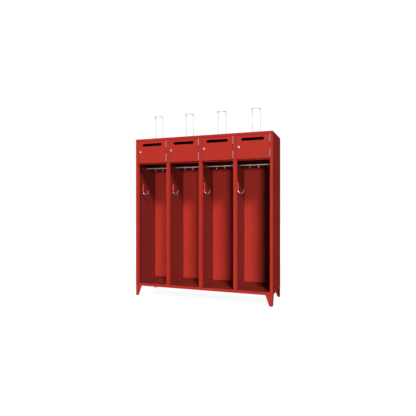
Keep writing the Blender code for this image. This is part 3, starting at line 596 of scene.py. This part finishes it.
def rod_hooks(wire):
    """Three bent wire hooks on each rod, each on its own sliding body."""
    flat = rod_hook_path()
    path = np.column_stack([np.zeros(len(flat)), flat])
    facing = np.tile((1.0, 0, 0), (len(flat), 1))
    for bay in BAYS:
        rod_y, rod_z = place_of(f"clothes_rod_{bay}", MIDDLE)[1:]
        for number in HOOKS:
            node = f"rod_hook_{bay}_{number}"
            eye_middle = (place_of(node, MIDDLE)[0], rod_y, rod_z)
            hook = carried(path + eye_middle, facing, HOOK_WIRE, HOOK_AROUND)
            piece(f"sliding_hook_{bay}_{number}", [hook], wire, node, [node])


def coat_hooks(paint, vinyl, wire, zinc):
    """A painted plate with four screws, and a bright bent bar with a vinyl sleeve and tip cap."""
    out, back, up = (1, 0, 0), (0, 1, 0), (0, 0, 1)
    bend_x = SLEEVE_X + COAT_BEND
    tip_x = bend_x + COAT_BEND
    bend = arc((bend_x, SLEEVE_LOW), COAT_BEND, 180, 360, COAT_BEND_POINTS)
    bar_top, bar_tip = SLEEVE_HIGH - BAR_SHORT_OF_SLEEVE, CAP_HIGH - BAR_SHORT_OF_CAP
    drop = np.linspace((SLEEVE_X, bar_top), (SLEEVE_X, SLEEVE_LOW), SLEEVE_POINTS)[:-1]
    flat = np.concatenate([drop, bend, [(tip_x, bar_tip)]])
    path = np.column_stack([flat[:, 0], np.zeros(len(flat)), flat[:, 1]])
    facing = np.tile((0.0, 1, 0), (len(flat), 1))
    outlines = [rounded_frame(PLATE_HALF_WIDTH - inset, PLATE_LENGTH / 2 - inset,
                              PLATE_CORNER - inset) for inset in PLATE_INSETS]
    length = SLEEVE_HIGH - SLEEVE_LOW
    sleeve = eased([(COAT_WIRE, 0), (SLEEVE_RADIUS, 0), (SLEEVE_RADIUS, SLEEVE_RADIUS),
                    (SLEEVE_RADIUS, length - SLEEVE_RADIUS), (SLEEVE_RADIUS, length),
                    (COVER_FLAT, length)], SLEEVE_EASE)
    cap = eased([(COAT_WIRE, 0), (SLEEVE_RADIUS, 0), (SLEEVE_RADIUS, CAP_LENGTH),
                 (COVER_FLAT, CAP_LENGTH)], CAP_EASE, CAP_POINTS)
    screw_places = [(PLATE_THICKNESS, way * PLATE_SCREW_SIDE, height)
                    for height in (PLATE_LOW + PLATE_SCREW_END, PLATE_HIGH - PLATE_SCREW_END)
                    for way in (-1, 1)]
    for bay in BAYS:
        node = f"coat_hook_{bay}"
        foot = np.array([place_of(node, LOW)[0], place_of(node, MIDDLE)[1], 0])
        middle = foot + (0, 0, (PLATE_LOW + PLATE_HIGH) / 2)
        plate = stacked(outlines, PLATE_LEVELS, middle, out, back)
        covers = [
            turned(sleeve, foot + (SLEEVE_X, 0, SLEEVE_LOW), up, out),
            turned(cap, foot + (tip_x, 0, CAP_LOW), up, out),
        ]
        piece(f"hook_plate_{bay}", [plate], paint, "locker", [node])
        piece(f"hook_sleeve_{bay}", covers, vinyl, "locker", [node])
        bar = carried(path + foot, facing, COAT_WIRE)
        piece(f"hook_bar_{bay}", [bar], wire, "locker", [node])
        screws = [socket_screw(foot + place, out, up, PLATE_SCREW_RADIUS, SCREW_HEIGHT)
                  for place in screw_places]
        piece(f"hook_screws_{bay}", screws, zinc, "locker")


def keyway_edge(turn):
    """Distance from the middle to the keyway's rim: the nearer of its long and short sides."""
    long_side = KEYWAY_HALF_WIDTH / np.maximum(np.abs(np.cos(turn)), TINY)
    short_side = KEYWAY_HALF_LENGTH / np.maximum(np.abs(np.sin(turn)), TINY)
    return np.minimum(long_side, short_side)


def lock_plug(base, axis, side):
    """The plug from its spindle's end to the floor of its keyway, as one surface.

    Its turns include the keyway's four corners, so that the slot has straight sides, and the even
    turns start a little off them.
    """
    corner = math.atan2(KEYWAY_HALF_LENGTH, KEYWAY_HALF_WIDTH)
    corners = [corner, np.pi - corner, np.pi + corner, 2 * np.pi - corner]
    turn = np.sort(np.concatenate([circle(PLUG_AROUND) + PLUG_TURN_START, corners]))
    even = np.ones(len(turn))
    rim = keyway_edge(turn)
    radii = np.stack([
        SPINDLE_RADIUS * even,
        SPINDLE_RADIUS * even,
        PLUG_RADIUS * even,
        PLUG_RADIUS * even,
        (PLUG_RADIUS - PLUG_EASE) * even,
        rim + PLUG_EASE / 2,
        rim,
        rim,
    ])
    heights = (SPINDLE_END, BARREL_END, BARREL_END, PLUG_FACE - PLUG_EASE, PLUG_FACE, PLUG_FACE,
               PLUG_FACE - PLUG_EASE / 2, PLUG_FACE - KEYWAY_DEPTH)
    levels = np.array(heights)[:, None] * even
    return around_axis(radii, levels, base, axis, side, turn)


def cam_outline(inset):
    """A bar with two round ends of unlike radius below the lock's axis, drawn in by an inset."""
    lean = math.degrees(math.asin((CAM_HUB - CAM_TIP) / CAM_REACH))
    hub = arc((0, 0), CAM_HUB - inset, -lean, 180 + lean, CAM_HUB_POINTS)
    tip = arc((0, -CAM_REACH), CAM_TIP - inset, 180 + lean, 360 - lean, CAM_TIP_POINTS)
    return np.concatenate([hub, tip])


def cam_locks(chrome, zinc):
    """Collar, barrel and nut on each door, and the plug with its keyway and cam, which turns."""
    out, across = (0, -1, 0), (1, 0, 0)
    profile = eased([
        (PLUG_BORE, BARREL_END),
        (BARREL_RADIUS, BARREL_END),
        (BARREL_RADIUS, COLLAR_FOOT),
        (COLLAR_RADIUS, COLLAR_FOOT),
        (COLLAR_RADIUS, COLLAR_FACE - COLLAR_SLOPE_HEIGHT),
        (COLLAR_RADIUS - COLLAR_SLOPE_WIDTH, COLLAR_FACE),
        (PLUG_BORE, COLLAR_FACE),
    ], COLLAR_EASE)
    levels = (CAM_BACK, CAM_BACK + CAM_EASE, CAM_FRONT - CAM_EASE, CAM_FRONT)
    outlines = [cam_outline(inset) for inset in (CAM_EASE, 0, 0, CAM_EASE)]
    for bay in BAYS:
        body = f"lock_body_{bay}"
        lock_x, _, lock_z = place_of(body, MIDDLE)
        base = np.array([lock_x, FRONT_Y, lock_z])
        collar = (turned(profile, base, out, across, HEXAGON_AROUND), True)
        piece(f"lock_collar_{bay}", [collar], chrome, f"door_{bay}", [body])
        seat = base + np.array(out) * LOCK_NUT_BACK
        nut = hex_nut(seat, out, across, LOCK_NUT_CORNER, LOCK_NUT_HEIGHT, BARREL_RADIUS)
        piece(f"lock_nut_{bay}", [nut], zinc, f"door_{bay}")
        plug = lock_plug(base, out, across)
        cam = stacked(outlines, levels, base, out, across)
        piece(f"plug_and_cam_{bay}", [plug, cam], chrome, f"lock_plug_{bay}",
              [f"lock_plug_{bay}"])


def corner_welds(paint):
    """A painted weld bead at the foot of each side panel, in the back corner of the floor tray."""
    along = np.linspace(WELD_START, WELD_START - WELD_LENGTH, WELD_ROWS)
    ripple = WELD_RIPPLE * np.cos(along * 2 * np.pi / WELD_RIPPLE_PITCH)
    lift = FLOOR_TOP + WELD_LIFT + ripple
    facing = np.tile((0.0, 0, 1), (WELD_ROWS, 1))
    for side, x in (("left", LEFT_X + WELD_INSET), ("right", RIGHT_X - WELD_INSET)):
        path = np.column_stack([np.full(WELD_ROWS, x), along, lift])
        bead = carried(path, facing, WELD_RADIUS, WELD_AROUND, WELD_END_SHARE)
        piece(f"corner_weld_{side}", [bead], paint, "locker")


def hinge_pins(zinc):
    """A domed pin through the knuckles of each hinge."""
    profile = eased([
        (PIN_FLAT, 0),
        (PIN_SHANK, 0),
        (PIN_SHANK, PIN_HEAD_FOOT),
        (PIN_HEAD_RADIUS, PIN_HEAD_FOOT),
        (PIN_HEAD_RADIUS, PIN_HEAD_TOP),
        (PIN_FLAT, PIN_HEAD_TOP),
    ], PIN_EASE)
    for bay in BAYS:
        for end in ("lower", "upper"):
            node = f"hinge_pin_{bay}_{end}"
            pin_x, pin_y, _ = place_of(node, MIDDLE)
            foot = (pin_x, pin_y, place_of(node, LOW)[2])
            pin = turned(profile, foot, (0, 0, 1), (1, 0, 0), PIN_AROUND)
            piece(f"pin_{bay}_{end}", [pin], zinc, "locker", [node])


# Effects that several finishes share


def feed(tree, socket, value):
    """Links an output to a socket, or sets the socket to a plain value."""
    if isinstance(value, bpy.types.NodeSocket):
        tree.links.new(value, socket)
    else:
        socket.default_value = value


def add_node(tree, kind, inputs=(), **settings):
    """A new node with its first inputs fed with values or outputs, and its settings made."""
    node = tree.nodes.new(kind)
    for name, value in settings.items():
        setattr(node, name, value)
    for socket, value in zip(node.inputs, inputs):
        feed(tree, socket, value)
    return node


def math_node(tree, operation, *inputs):
    """The output of a Math node fed with numbers or with other outputs."""
    return add_node(tree, "ShaderNodeMath", inputs, operation=operation).outputs[0]


def vector_node(tree, operation, *inputs):
    """A Vector Math node fed with vectors or with other outputs."""
    return add_node(tree, "ShaderNodeVectorMath", inputs, operation=operation)


def component(tree, vector, axis):
    """One of the components X, Y and Z of a vector."""
    return add_node(tree, "ShaderNodeSeparateXYZ", (vector,)).outputs[axis]


def noise(tree, place, scale, layers):
    """A soft noise over a place, scale lumps to a metre, with a number of finer layers."""
    node = add_node(tree, "ShaderNodeTexNoise")
    feed(tree, node.inputs["Vector"], place)
    feed(tree, node.inputs["Scale"], scale)
    feed(tree, node.inputs["Detail"], layers)
    return node.outputs[0]


def between(tree, value, low, high, to_low=0.0, to_high=1.0, smooth=True):
    """A value between low and high, mapped to another span and held at its ends."""
    node = add_node(tree, "ShaderNodeMapRange", (value, low, high, to_low, to_high))
    node.interpolation_type = "SMOOTHSTEP" if smooth else "LINEAR"
    return node.outputs[0]


def new_group(name, inputs, outputs):
    """A node group: inputs given as name, kind and first value, outputs as name and kind."""
    tree = bpy.data.node_groups.new(name, "ShaderNodeTree")
    new_socket = tree.interface.new_socket
    for label, kind, value in inputs:
        socket = new_socket(name=label, in_out="INPUT", socket_type=f"NodeSocket{kind}")
        if value is not None:
            socket.default_value = value
    for label, kind in outputs:
        new_socket(name=label, in_out="OUTPUT", socket_type=f"NodeSocket{kind}")
    return tree, tree.nodes.new("NodeGroupInput"), tree.nodes.new("NodeGroupOutput")


def cloudy_tone():
    """Colour made a little lighter and darker in soft clouds, about Scale clouds to a metre."""
    tree, given, result = new_group(
        "cloudy_tone",
        (("Color", "Color", (1, 1, 1, 1)), ("Place", "Vector", None), ("Scale", "Float", 5.0),
         ("Amount", "Float", 0.05)),
        (("Color", "Color"),),
    )
    clouds = noise(tree, given.outputs["Place"], given.outputs["Scale"], layers=4.0)
    swing = between(tree, clouds, *NOISE_SPAN, -1.0, 1.0, False)
    change = math_node(tree, "MULTIPLY", swing, given.outputs["Amount"])
    scaled = vector_node(tree, "SCALE", given.outputs["Color"])
    tree.links.new(math_node(tree, "ADD", change, 1.0), scaled.inputs["Scale"])
    tree.links.new(scaled.outputs[0], result.inputs["Color"])
    return tree


def fine_skin():
    """Height of a sprayed or plated skin: small soft lumps with finer grain on them."""
    tree, given, result = new_group(
        "fine_skin",
        (("Place", "Vector", None), ("Lumps", "Float", 450.0), ("Grain share", "Float", 0.3)),
        (("Height", "Float"),),
    )
    place, scale = given.outputs["Place"], given.outputs["Lumps"]
    lumps = noise(tree, place, scale, layers=1.0)
    finer = math_node(tree, "MULTIPLY", scale, GRAIN_FINENESS)
    grain = noise(tree, place, finer, layers=2.0)
    fine = math_node(tree, "MULTIPLY", grain, given.outputs["Grain share"])
    tree.links.new(math_node(tree, "ADD", lumps, fine), result.inputs["Height"])
    return tree


def rub_marks():
    """Mask of short rubbed streaks, drawn out along Stretch and gathered in patches."""
    tree, given, result = new_group(
        "rub_marks",
        (("Place", "Vector", None), ("Stretch", "Vector", (90.0, 12.0, 90.0)),
         ("Cover share", "Float", 0.35)),
        (("Mask", "Float"),),
    )
    drawn = vector_node(tree, "MULTIPLY", given.outputs["Place"], given.outputs["Stretch"])
    streaks = noise(tree, drawn.outputs[0], 1.0, layers=3.0)
    patches = noise(tree, given.outputs["Place"], PATCH_SCALE, layers=2.0)
    thin = between(tree, streaks, *STREAK_SPAN)
    edge = math_node(tree, "SUBTRACT", 1.0, given.outputs["Cover share"])
    room = math_node(tree, "SUBTRACT", patches, math_node(tree, "MULTIPLY", edge, PATCH_SHARE))
    patch = between(tree, room, *PATCH_SPAN)
    tree.links.new(math_node(tree, "MULTIPLY", thin, patch), result.inputs["Mask"])
    return tree


def weld_spots():
    """Mask of round spots at a pitch across and upwards, each about five millimetres wide."""
    tree, given, result = new_group(
        "weld_spots",
        (("Place", "Vector", None), ("Start x", "Float", 0.0), ("Pitch x", "Float", 0.4),
         ("Pitch z", "Float", 0.12)),
        (("Mask", "Float"),),
    )
    half_x = math_node(tree, "DIVIDE", given.outputs["Pitch x"], 2.0)
    half_z = math_node(tree, "DIVIDE", given.outputs["Pitch z"], 2.0)
    place_x = component(tree, given.outputs["Place"], "X")
    place_z = component(tree, given.outputs["Place"], "Z")
    shift = math_node(tree, "SUBTRACT", place_x, given.outputs["Start x"])
    across = math_node(tree, "PINGPONG", shift, half_x)
    upward = math_node(tree, "PINGPONG", place_z, half_z)
    squares = math_node(tree, "ADD", math_node(tree, "POWER", across, 2.0),
                        math_node(tree, "POWER", upward, 2.0))
    spot = between(tree, math_node(tree, "SQRT", squares), *SPOT_SPAN)
    tree.links.new(spot, result.inputs["Mask"])
    return tree


# Finishes


class Finish:
    """A Principled material under construction, with helpers that place nodes in it."""

    def __init__(self, name, roughness, metallic=0.0):
        self.material = bpy.data.materials.new(name)
        self.material.use_nodes = True
        self.tree = self.material.node_tree
        self.shader = self.tree.nodes["Principled BSDF"]
        self.shader.inputs["Roughness"].default_value = roughness
        self.shader.inputs["Metallic"].default_value = metallic
        self.place = self.tree.nodes.new("ShaderNodeTexCoord").outputs["Object"]

    def effect(self, group, **values):
        """The output of a shared effect, its inputs set by name, where _ stands for a space."""
        node = add_node(self.tree, "ShaderNodeGroup", node_tree=group)
        for name, value in values.items():
            feed(self.tree, node.inputs[name.replace("_", " ")], value)
        return node.outputs[0]

    def mixed(self, mask, first, second):
        """A colour that goes from the first to the second where the mask rises."""
        node = add_node(self.tree, "ShaderNodeMix", data_type="RGBA", clamp_factor=True)
        for number, value in ((0, mask), (6, first), (7, second)):
            feed(self.tree, node.inputs[number], value)
        return node.outputs[2]

    def relief(self, height, distance):
        """A height, in shares of a distance, as the surface's normal."""
        bump = self.tree.nodes.new("ShaderNodeBump")
        bump.inputs["Strength"].default_value = 1.0
        bump.inputs["Distance"].default_value = distance
        self.tree.links.new(height, bump.inputs["Height"])
        self.tree.links.new(bump.outputs[0], self.shader.inputs["Normal"])

    def into(self, name, value):
        """Feeds one of the shader's sockets."""
        feed(self.tree, self.shader.inputs[name], value)


def red_paint(name, effects, coat=RED, wall=None, hinged=False, trodden=False, welded=False):
    """Satin red powder coat.

    A wall is painted darker between its front stile and rear flange, a painted shade, and lighter
    near the back, a painted light. The paint is rubbed where boots go, darker on the floor's top,
    dusty and in painted shade, and spotted on the back, and the hinge knuckles are bare zinc.
    """
    finish = Finish(name, 0.42)
    tree, place = finish.tree, finish.place
    finish.into("Specular IOR Level", PAINT_SHINE)
    # Painted shade: behind its front stile a wall takes a darker red
    if wall:
        depth = component(tree, place, "Y")
        behind, at_back = between(tree, depth, *WALL_RISE), between(tree, depth, *BACK_RISE)
        # Painted light: near the back the wall takes the back panel's lighter red
        coat = finish.mixed(at_back, finish.mixed(behind, coat, wall), RED_BACK_LIGHTENED)
    wide = finish.effect(effects["tone"], Color=coat, Place=place, Scale=2.3, Amount=0.035)
    color = finish.effect(effects["tone"], Color=wide, Place=place, Scale=60.0, Amount=0.02)
    height = finish.effect(effects["skin"], Place=place, Lumps=420.0, Grain_share=0.25)
    roughness = between(tree, height, *PAINT_SPAN, *PAINT_ROUGHNESS)
    if trodden:
        # Dirt and painted shade: the top of the floor tray is darker
        dusty_shaded_top = between(tree, component(tree, place, "Z"), *FLOOR_RISE)
        dust_and_shade = finish.effect(effects["tone"], Color=RED_DUST_AND_SHADE, Place=place, Scale=14.0, Amount=0.10)
        color = finish.mixed(math_node(tree, "MULTIPLY", dusty_shaded_top, DUST_AND_SHADE_SHARE), color, dust_and_shade)
        marks = finish.effect(effects["rub"], Place=place, Stretch=(26.0, 120.0, 120.0),
                              Cover_share=0.42)
        soft = math_node(tree, "MULTIPLY", marks, RUB_SHARE)
        color = finish.mixed(soft, color, RED_RUBBED)
        more = math_node(tree, "MULTIPLY", soft, RUB_ROUGHER)
        roughness = math_node(tree, "ADD", roughness, more)
    if welded:
        spots = finish.effect(effects["weld"], Place=place, Start_x=SPOT_START_X,
                              Pitch_x=BAY_PITCH, Pitch_z=SPOT_PITCH_Z)
        color = finish.mixed(math_node(tree, "MULTIPLY", spots, SPOT_SHARE), color, RED_WELD)
        height = math_node(tree, "ADD", height, math_node(tree, "MULTIPLY", spots, SPOT_DENT))
    if hinged:
        bare = math_node(tree, "LESS_THAN", component(tree, place, "Y"), KNUCKLE_PLANE)
        metal = finish.effect(effects["tone"], Color=ZINC, Place=place, Scale=300.0, Amount=0.08)
        color = finish.mixed(bare, color, metal)
        finish.into("Metallic", bare)
        more = math_node(tree, "MULTIPLY", bare, BARE_ROUGHER)
        roughness = math_node(tree, "ADD", roughness, more)
    finish.into("Base Color", color)
    finish.into("Roughness", roughness)
    finish.relief(height, PAINT_RELIEF)
    return finish.material


def red_vinyl(name, effects):
    """Glossy dipped vinyl, a little brighter than the paint, with soft runs along the sleeve."""
    finish = Finish(name, 0.30)
    tree, place = finish.tree, finish.place
    finish.into("Specular IOR Level", VINYL_SHINE)
    tone = finish.effect(effects["tone"], Color=VINYL, Place=place, Scale=120.0, Amount=0.05)
    height = finish.effect(effects["skin"], Place=place, Lumps=220.0, Grain_share=0.05)
    finish.into("Base Color", tone)
    finish.into("Roughness", between(tree, height, *VINYL_SPAN, *VINYL_ROUGHNESS))
    finish.relief(height, VINYL_RELIEF)
    return finish.material


def drawn_metal(name, effects, color, roughness, stretch, amount, grime_and_shade_past=None):
    """Plated metal whose fine lines follow a piece's course, between two roughnesses.

    Past a given distance along the course, where a plug's keyway starts, it is dark with grime and
    painted shade.
    """
    finish = Finish(name, roughness[0], 1.0)
    tree = finish.tree
    course = add_node(tree, "ShaderNodeAttribute", attribute_name="course").outputs["Vector"]
    drawn = vector_node(tree, "MULTIPLY", course, stretch)
    lines = noise(tree, drawn.outputs[0], 1.0, layers=3.0)
    tone = finish.effect(effects["tone"], Color=color, Place=finish.place, Scale=METAL_CLOUDS,
                         Amount=amount)
    # Grime and painted shade inside the keyway
    if grime_and_shade_past:
        along = component(tree, course, "X")
        inside = between(tree, along, grime_and_shade_past, grime_and_shade_past + GRIME_AND_SHADE_FADE)
        tone = finish.mixed(inside, tone, GRIME_AND_SHADE)
    finish.into("Base Color", tone)
    finish.into("Roughness", between(tree, lines, *NOISE_SPAN, *roughness, False))
    finish.relief(lines, METAL_RELIEF)
    return finish.material


def studio_floor():
    """A plain pale floor that glows, so that it stays white and shows only a faint shadow."""
    finish = Finish("studio_floor", 0.9)
    tree = finish.tree
    finish.into("Specular IOR Level", 0.0)
    finish.into("Base Color", (FLOOR_TONE, FLOOR_TONE, FLOOR_TONE, 1.0))
    finish.into("Emission Color", WHITE)
    distance = vector_node(tree, "LENGTH", finish.place).outputs["Value"]
    glow = between(tree, distance, FLOOR_NEAR, FLOOR_FAR, FLOOR_GLOW, BACKDROP)
    finish.into("Emission Strength", glow)
    return finish.material


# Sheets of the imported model


def fold_shading():
    """A modifier's node tree: loose triangles joined, and edges sharp only above the fold angle."""
    tree = bpy.data.node_groups.new("fold_shading", "GeometryNodeTree")
    tree.is_modifier = True
    tree.interface.new_socket(name="Geometry", in_out="INPUT", socket_type="NodeSocketGeometry")
    tree.interface.new_socket(name="Geometry", in_out="OUTPUT", socket_type="NodeSocketGeometry")
    given, result = tree.nodes.new("NodeGroupInput"), tree.nodes.new("NodeGroupOutput")
    joined = add_node(tree, "GeometryNodeMergeByDistance")
    joined.inputs["Distance"].default_value = MERGE_DISTANCE
    angle = tree.nodes.new("GeometryNodeInputMeshEdgeAngle")
    steep = math_node(tree, "GREATER_THAN", angle.outputs[0], math.radians(SHEET_FOLD_DEG))
    normal = tree.nodes.new("GeometryNodeSetMeshNormal")
    tree.links.new(given.outputs[0], joined.inputs["Geometry"])
    tree.links.new(joined.outputs[0], normal.inputs["Mesh"])
    normal.inputs["Remove Custom"].default_value = True
    tree.links.new(steep, normal.inputs["Edge Sharpness"])
    normal.inputs["Face Sharpness"].default_value = False
    tree.links.new(normal.outputs[0], result.inputs[0])
    return tree


def dress_sheets(nodes, finishes):
    """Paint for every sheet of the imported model, and folds that shade round.

    Nodes that a drawn piece replaces are hidden by now and stay as they are.
    """
    folds = fold_shading()
    for name, node in nodes.items():
        if node.hide_render:
            continue
        kind = next((paint for start, paint in SHEET_PAINTS if name.startswith(start)), "plain")
        node.material_slots[0].link = "OBJECT"
        node.material_slots[0].material = finishes[kind]
        shade = node.modifiers.new("folds", "NODES")
        shade.node_group = folds
        even = node.modifiers.new("even_faces", "WEIGHTED_NORMAL")
        even.keep_sharp = True


# Studio


def lamp(name, azimuth_deg, elevation_deg, wide_deg, strength):
    """A far round lamp aimed at the locker, as wide as the angle that it fills there.

    Azimuth is counted to the right of the front. Strength is what falls on a plane facing it, so
    its power is strength * pi * distance^2.
    """
    azimuth, elevation = math.radians(azimuth_deg), math.radians(elevation_deg)
    level = math.cos(elevation)
    toward = Vector((math.sin(azimuth) * level, -math.cos(azimuth) * level, math.sin(elevation)))
    light = bpy.data.lights.new(name, "AREA")
    light.shape = "DISK"
    light.size = 2 * LIGHT_DISTANCE * math.tan(math.radians(wide_deg / 2))
    light.energy = strength * math.pi * LIGHT_DISTANCE**2
    item = bpy.data.objects.new(name, light)
    item.location = Vector(LIGHT_TARGET) + LIGHT_DISTANCE * toward
    item.rotation_euler = (-toward).to_track_quat("-Z", "Y").to_euler()
    bpy.context.scene.collection.objects.link(item)


def studio_world():
    """A white backdrop that lights the sheets only a little.

    Bright metal mirrors a pale room in front of the locker and a dark one behind it.
    """
    world = bpy.data.worlds.new("studio_world")
    world.use_nodes = True
    tree = world.node_tree
    background = tree.nodes["Background"]
    background.inputs["Color"].default_value = WHITE
    way = component(tree, tree.nodes.new("ShaderNodeTexCoord").outputs["Generated"], "Y")
    room = between(tree, way, FRONT_SHEEN_END, BACK_SHEEN_START,
                   FRONT_SHEEN - AMBIENT, BACK_SHEEN - AMBIENT)
    path = tree.nodes.new("ShaderNodeLightPath")
    seen = math_node(tree, "MULTIPLY", path.outputs["Is Camera Ray"], BACKDROP - AMBIENT)
    sheen = math_node(tree, "MULTIPLY", path.outputs["Is Glossy Ray"], room)
    total = math_node(tree, "ADD", math_node(tree, "ADD", seen, sheen), AMBIENT)
    tree.links.new(total, background.inputs["Strength"])
    bpy.context.scene.world = world


def studio_ground():
    """A wide round floor under the locker, as rings of a polar grid."""
    rings, turn = len(FLOOR_RINGS), circle(FLOOR_AROUND)
    radius = np.tile(np.array(FLOOR_RINGS)[:, None], FLOOR_AROUND)
    level = np.zeros_like(radius)
    grid = around_axis(radius, level, (0, 0, 0), (0, 0, 1), (1, 0, 0), turn)
    mesh = bpy.data.meshes.new("studio_floor")
    faces = grid_faces(rings, FLOOR_AROUND, False, 0)[:, ::-1].tolist()
    faces.append(np.arange(FLOOR_AROUND).tolist())
    mesh.from_pydata(grid.reshape(-1, 3).tolist(), [], faces)
    mesh.materials.append(studio_floor())
    ground = bpy.data.objects.new("studio_floor", mesh)
    bpy.context.scene.collection.objects.link(ground)
    ground.visible_diffuse = False
    ground.visible_glossy = False


def camera():
    """The camera at the photograph's place: level, turned to the left, right of the middle."""
    data = bpy.data.cameras.new("camera")
    data.lens = CAMERA_LENS
    data.shift_y = CAMERA_SHIFT
    data.clip_end = CAMERA_REACH
    item = bpy.data.objects.new("camera", data)
    item.location = CAMERA_PLACE
    item.rotation_euler = (math.radians(90), 0, math.radians(CAMERA_TURN_DEG))
    bpy.context.scene.collection.objects.link(item)
    bpy.context.scene.camera = item


bpy.context.scene.view_settings.view_transform = "Standard"

effects = {"tone": cloudy_tone(), "skin": fine_skin(), "rub": rub_marks(), "weld": weld_spots()}
finishes = {
    "plain": red_paint("red_powder_coat", effects),
    "door": red_paint("red_powder_coat_door", effects, hinged=True),
    # The wall and side finishes carry painted shade behind the front stiles
    "wall": red_paint("red_powder_coat_wall_painted_shade", effects, wall=RED_WALL_SHADE),
    "hinged_wall": red_paint("red_powder_coat_hinged_wall_painted_shade", effects, wall=RED_WALL_SHADE, hinged=True),
    "hinged_side": red_paint("red_powder_coat_hinged_side_painted_shade", effects, wall=RED_SIDE_SHADE, hinged=True),
    # The trodden finish has real rub marks, and dirt and painted shade on the floor's top
    "trodden": red_paint("red_powder_coat_trodden_and_shaded", effects, trodden=True),
    # The back panel's finish is a lighter red, a painted light, with real weld spots on it
    "welded": red_paint("red_powder_coat_spot_welded_painted_light", effects, RED_BACK_LIGHTENED, welded=True),
}
satin_bow = drawn_metal("satin_bow", effects, SATIN, SATIN_ROUGHNESS, WIRE_LINES, 0.03)
satin_steel = drawn_metal("satin_steel", effects, STEEL, SATIN_ROUGHNESS, WIRE_LINES, 0.03)
bright_wire = drawn_metal("bright_wire", effects, BRIGHT, WIRE_ROUGHNESS, WIRE_LINES, 0.03)
zinc_plate = drawn_metal("zinc_plate", effects, ZINC, ZINC_ROUGHNESS, ZINC_LINES, 0.08)
# The chrome darkens in the keyways with grime and painted shade
chrome_plate = drawn_metal("chrome_plate", effects, CHROME, CHROME_ROUGHNESS, CHROME_LINES, 0.03,
                           PLUG_FACE - SPINDLE_END)

helmet_bows(satin_bow, zinc_plate)
clothes_rods(satin_steel, finishes["plain"], zinc_plate)
rod_hooks(satin_steel)
coat_hooks(finishes["plain"], red_vinyl("red_vinyl", effects), bright_wire, zinc_plate)
cam_locks(chrome_plate, zinc_plate)
hinge_pins(zinc_plate)
corner_welds(finishes["plain"])
dress_sheets(frame["nodes"], finishes)

# Hard light, with none thrown back between the walls of the bays
for item in bpy.context.scene.objects:
    item.visible_diffuse = False

studio_ground()
studio_world()
for row in LAMPS:
    lamp(*row)
camera()
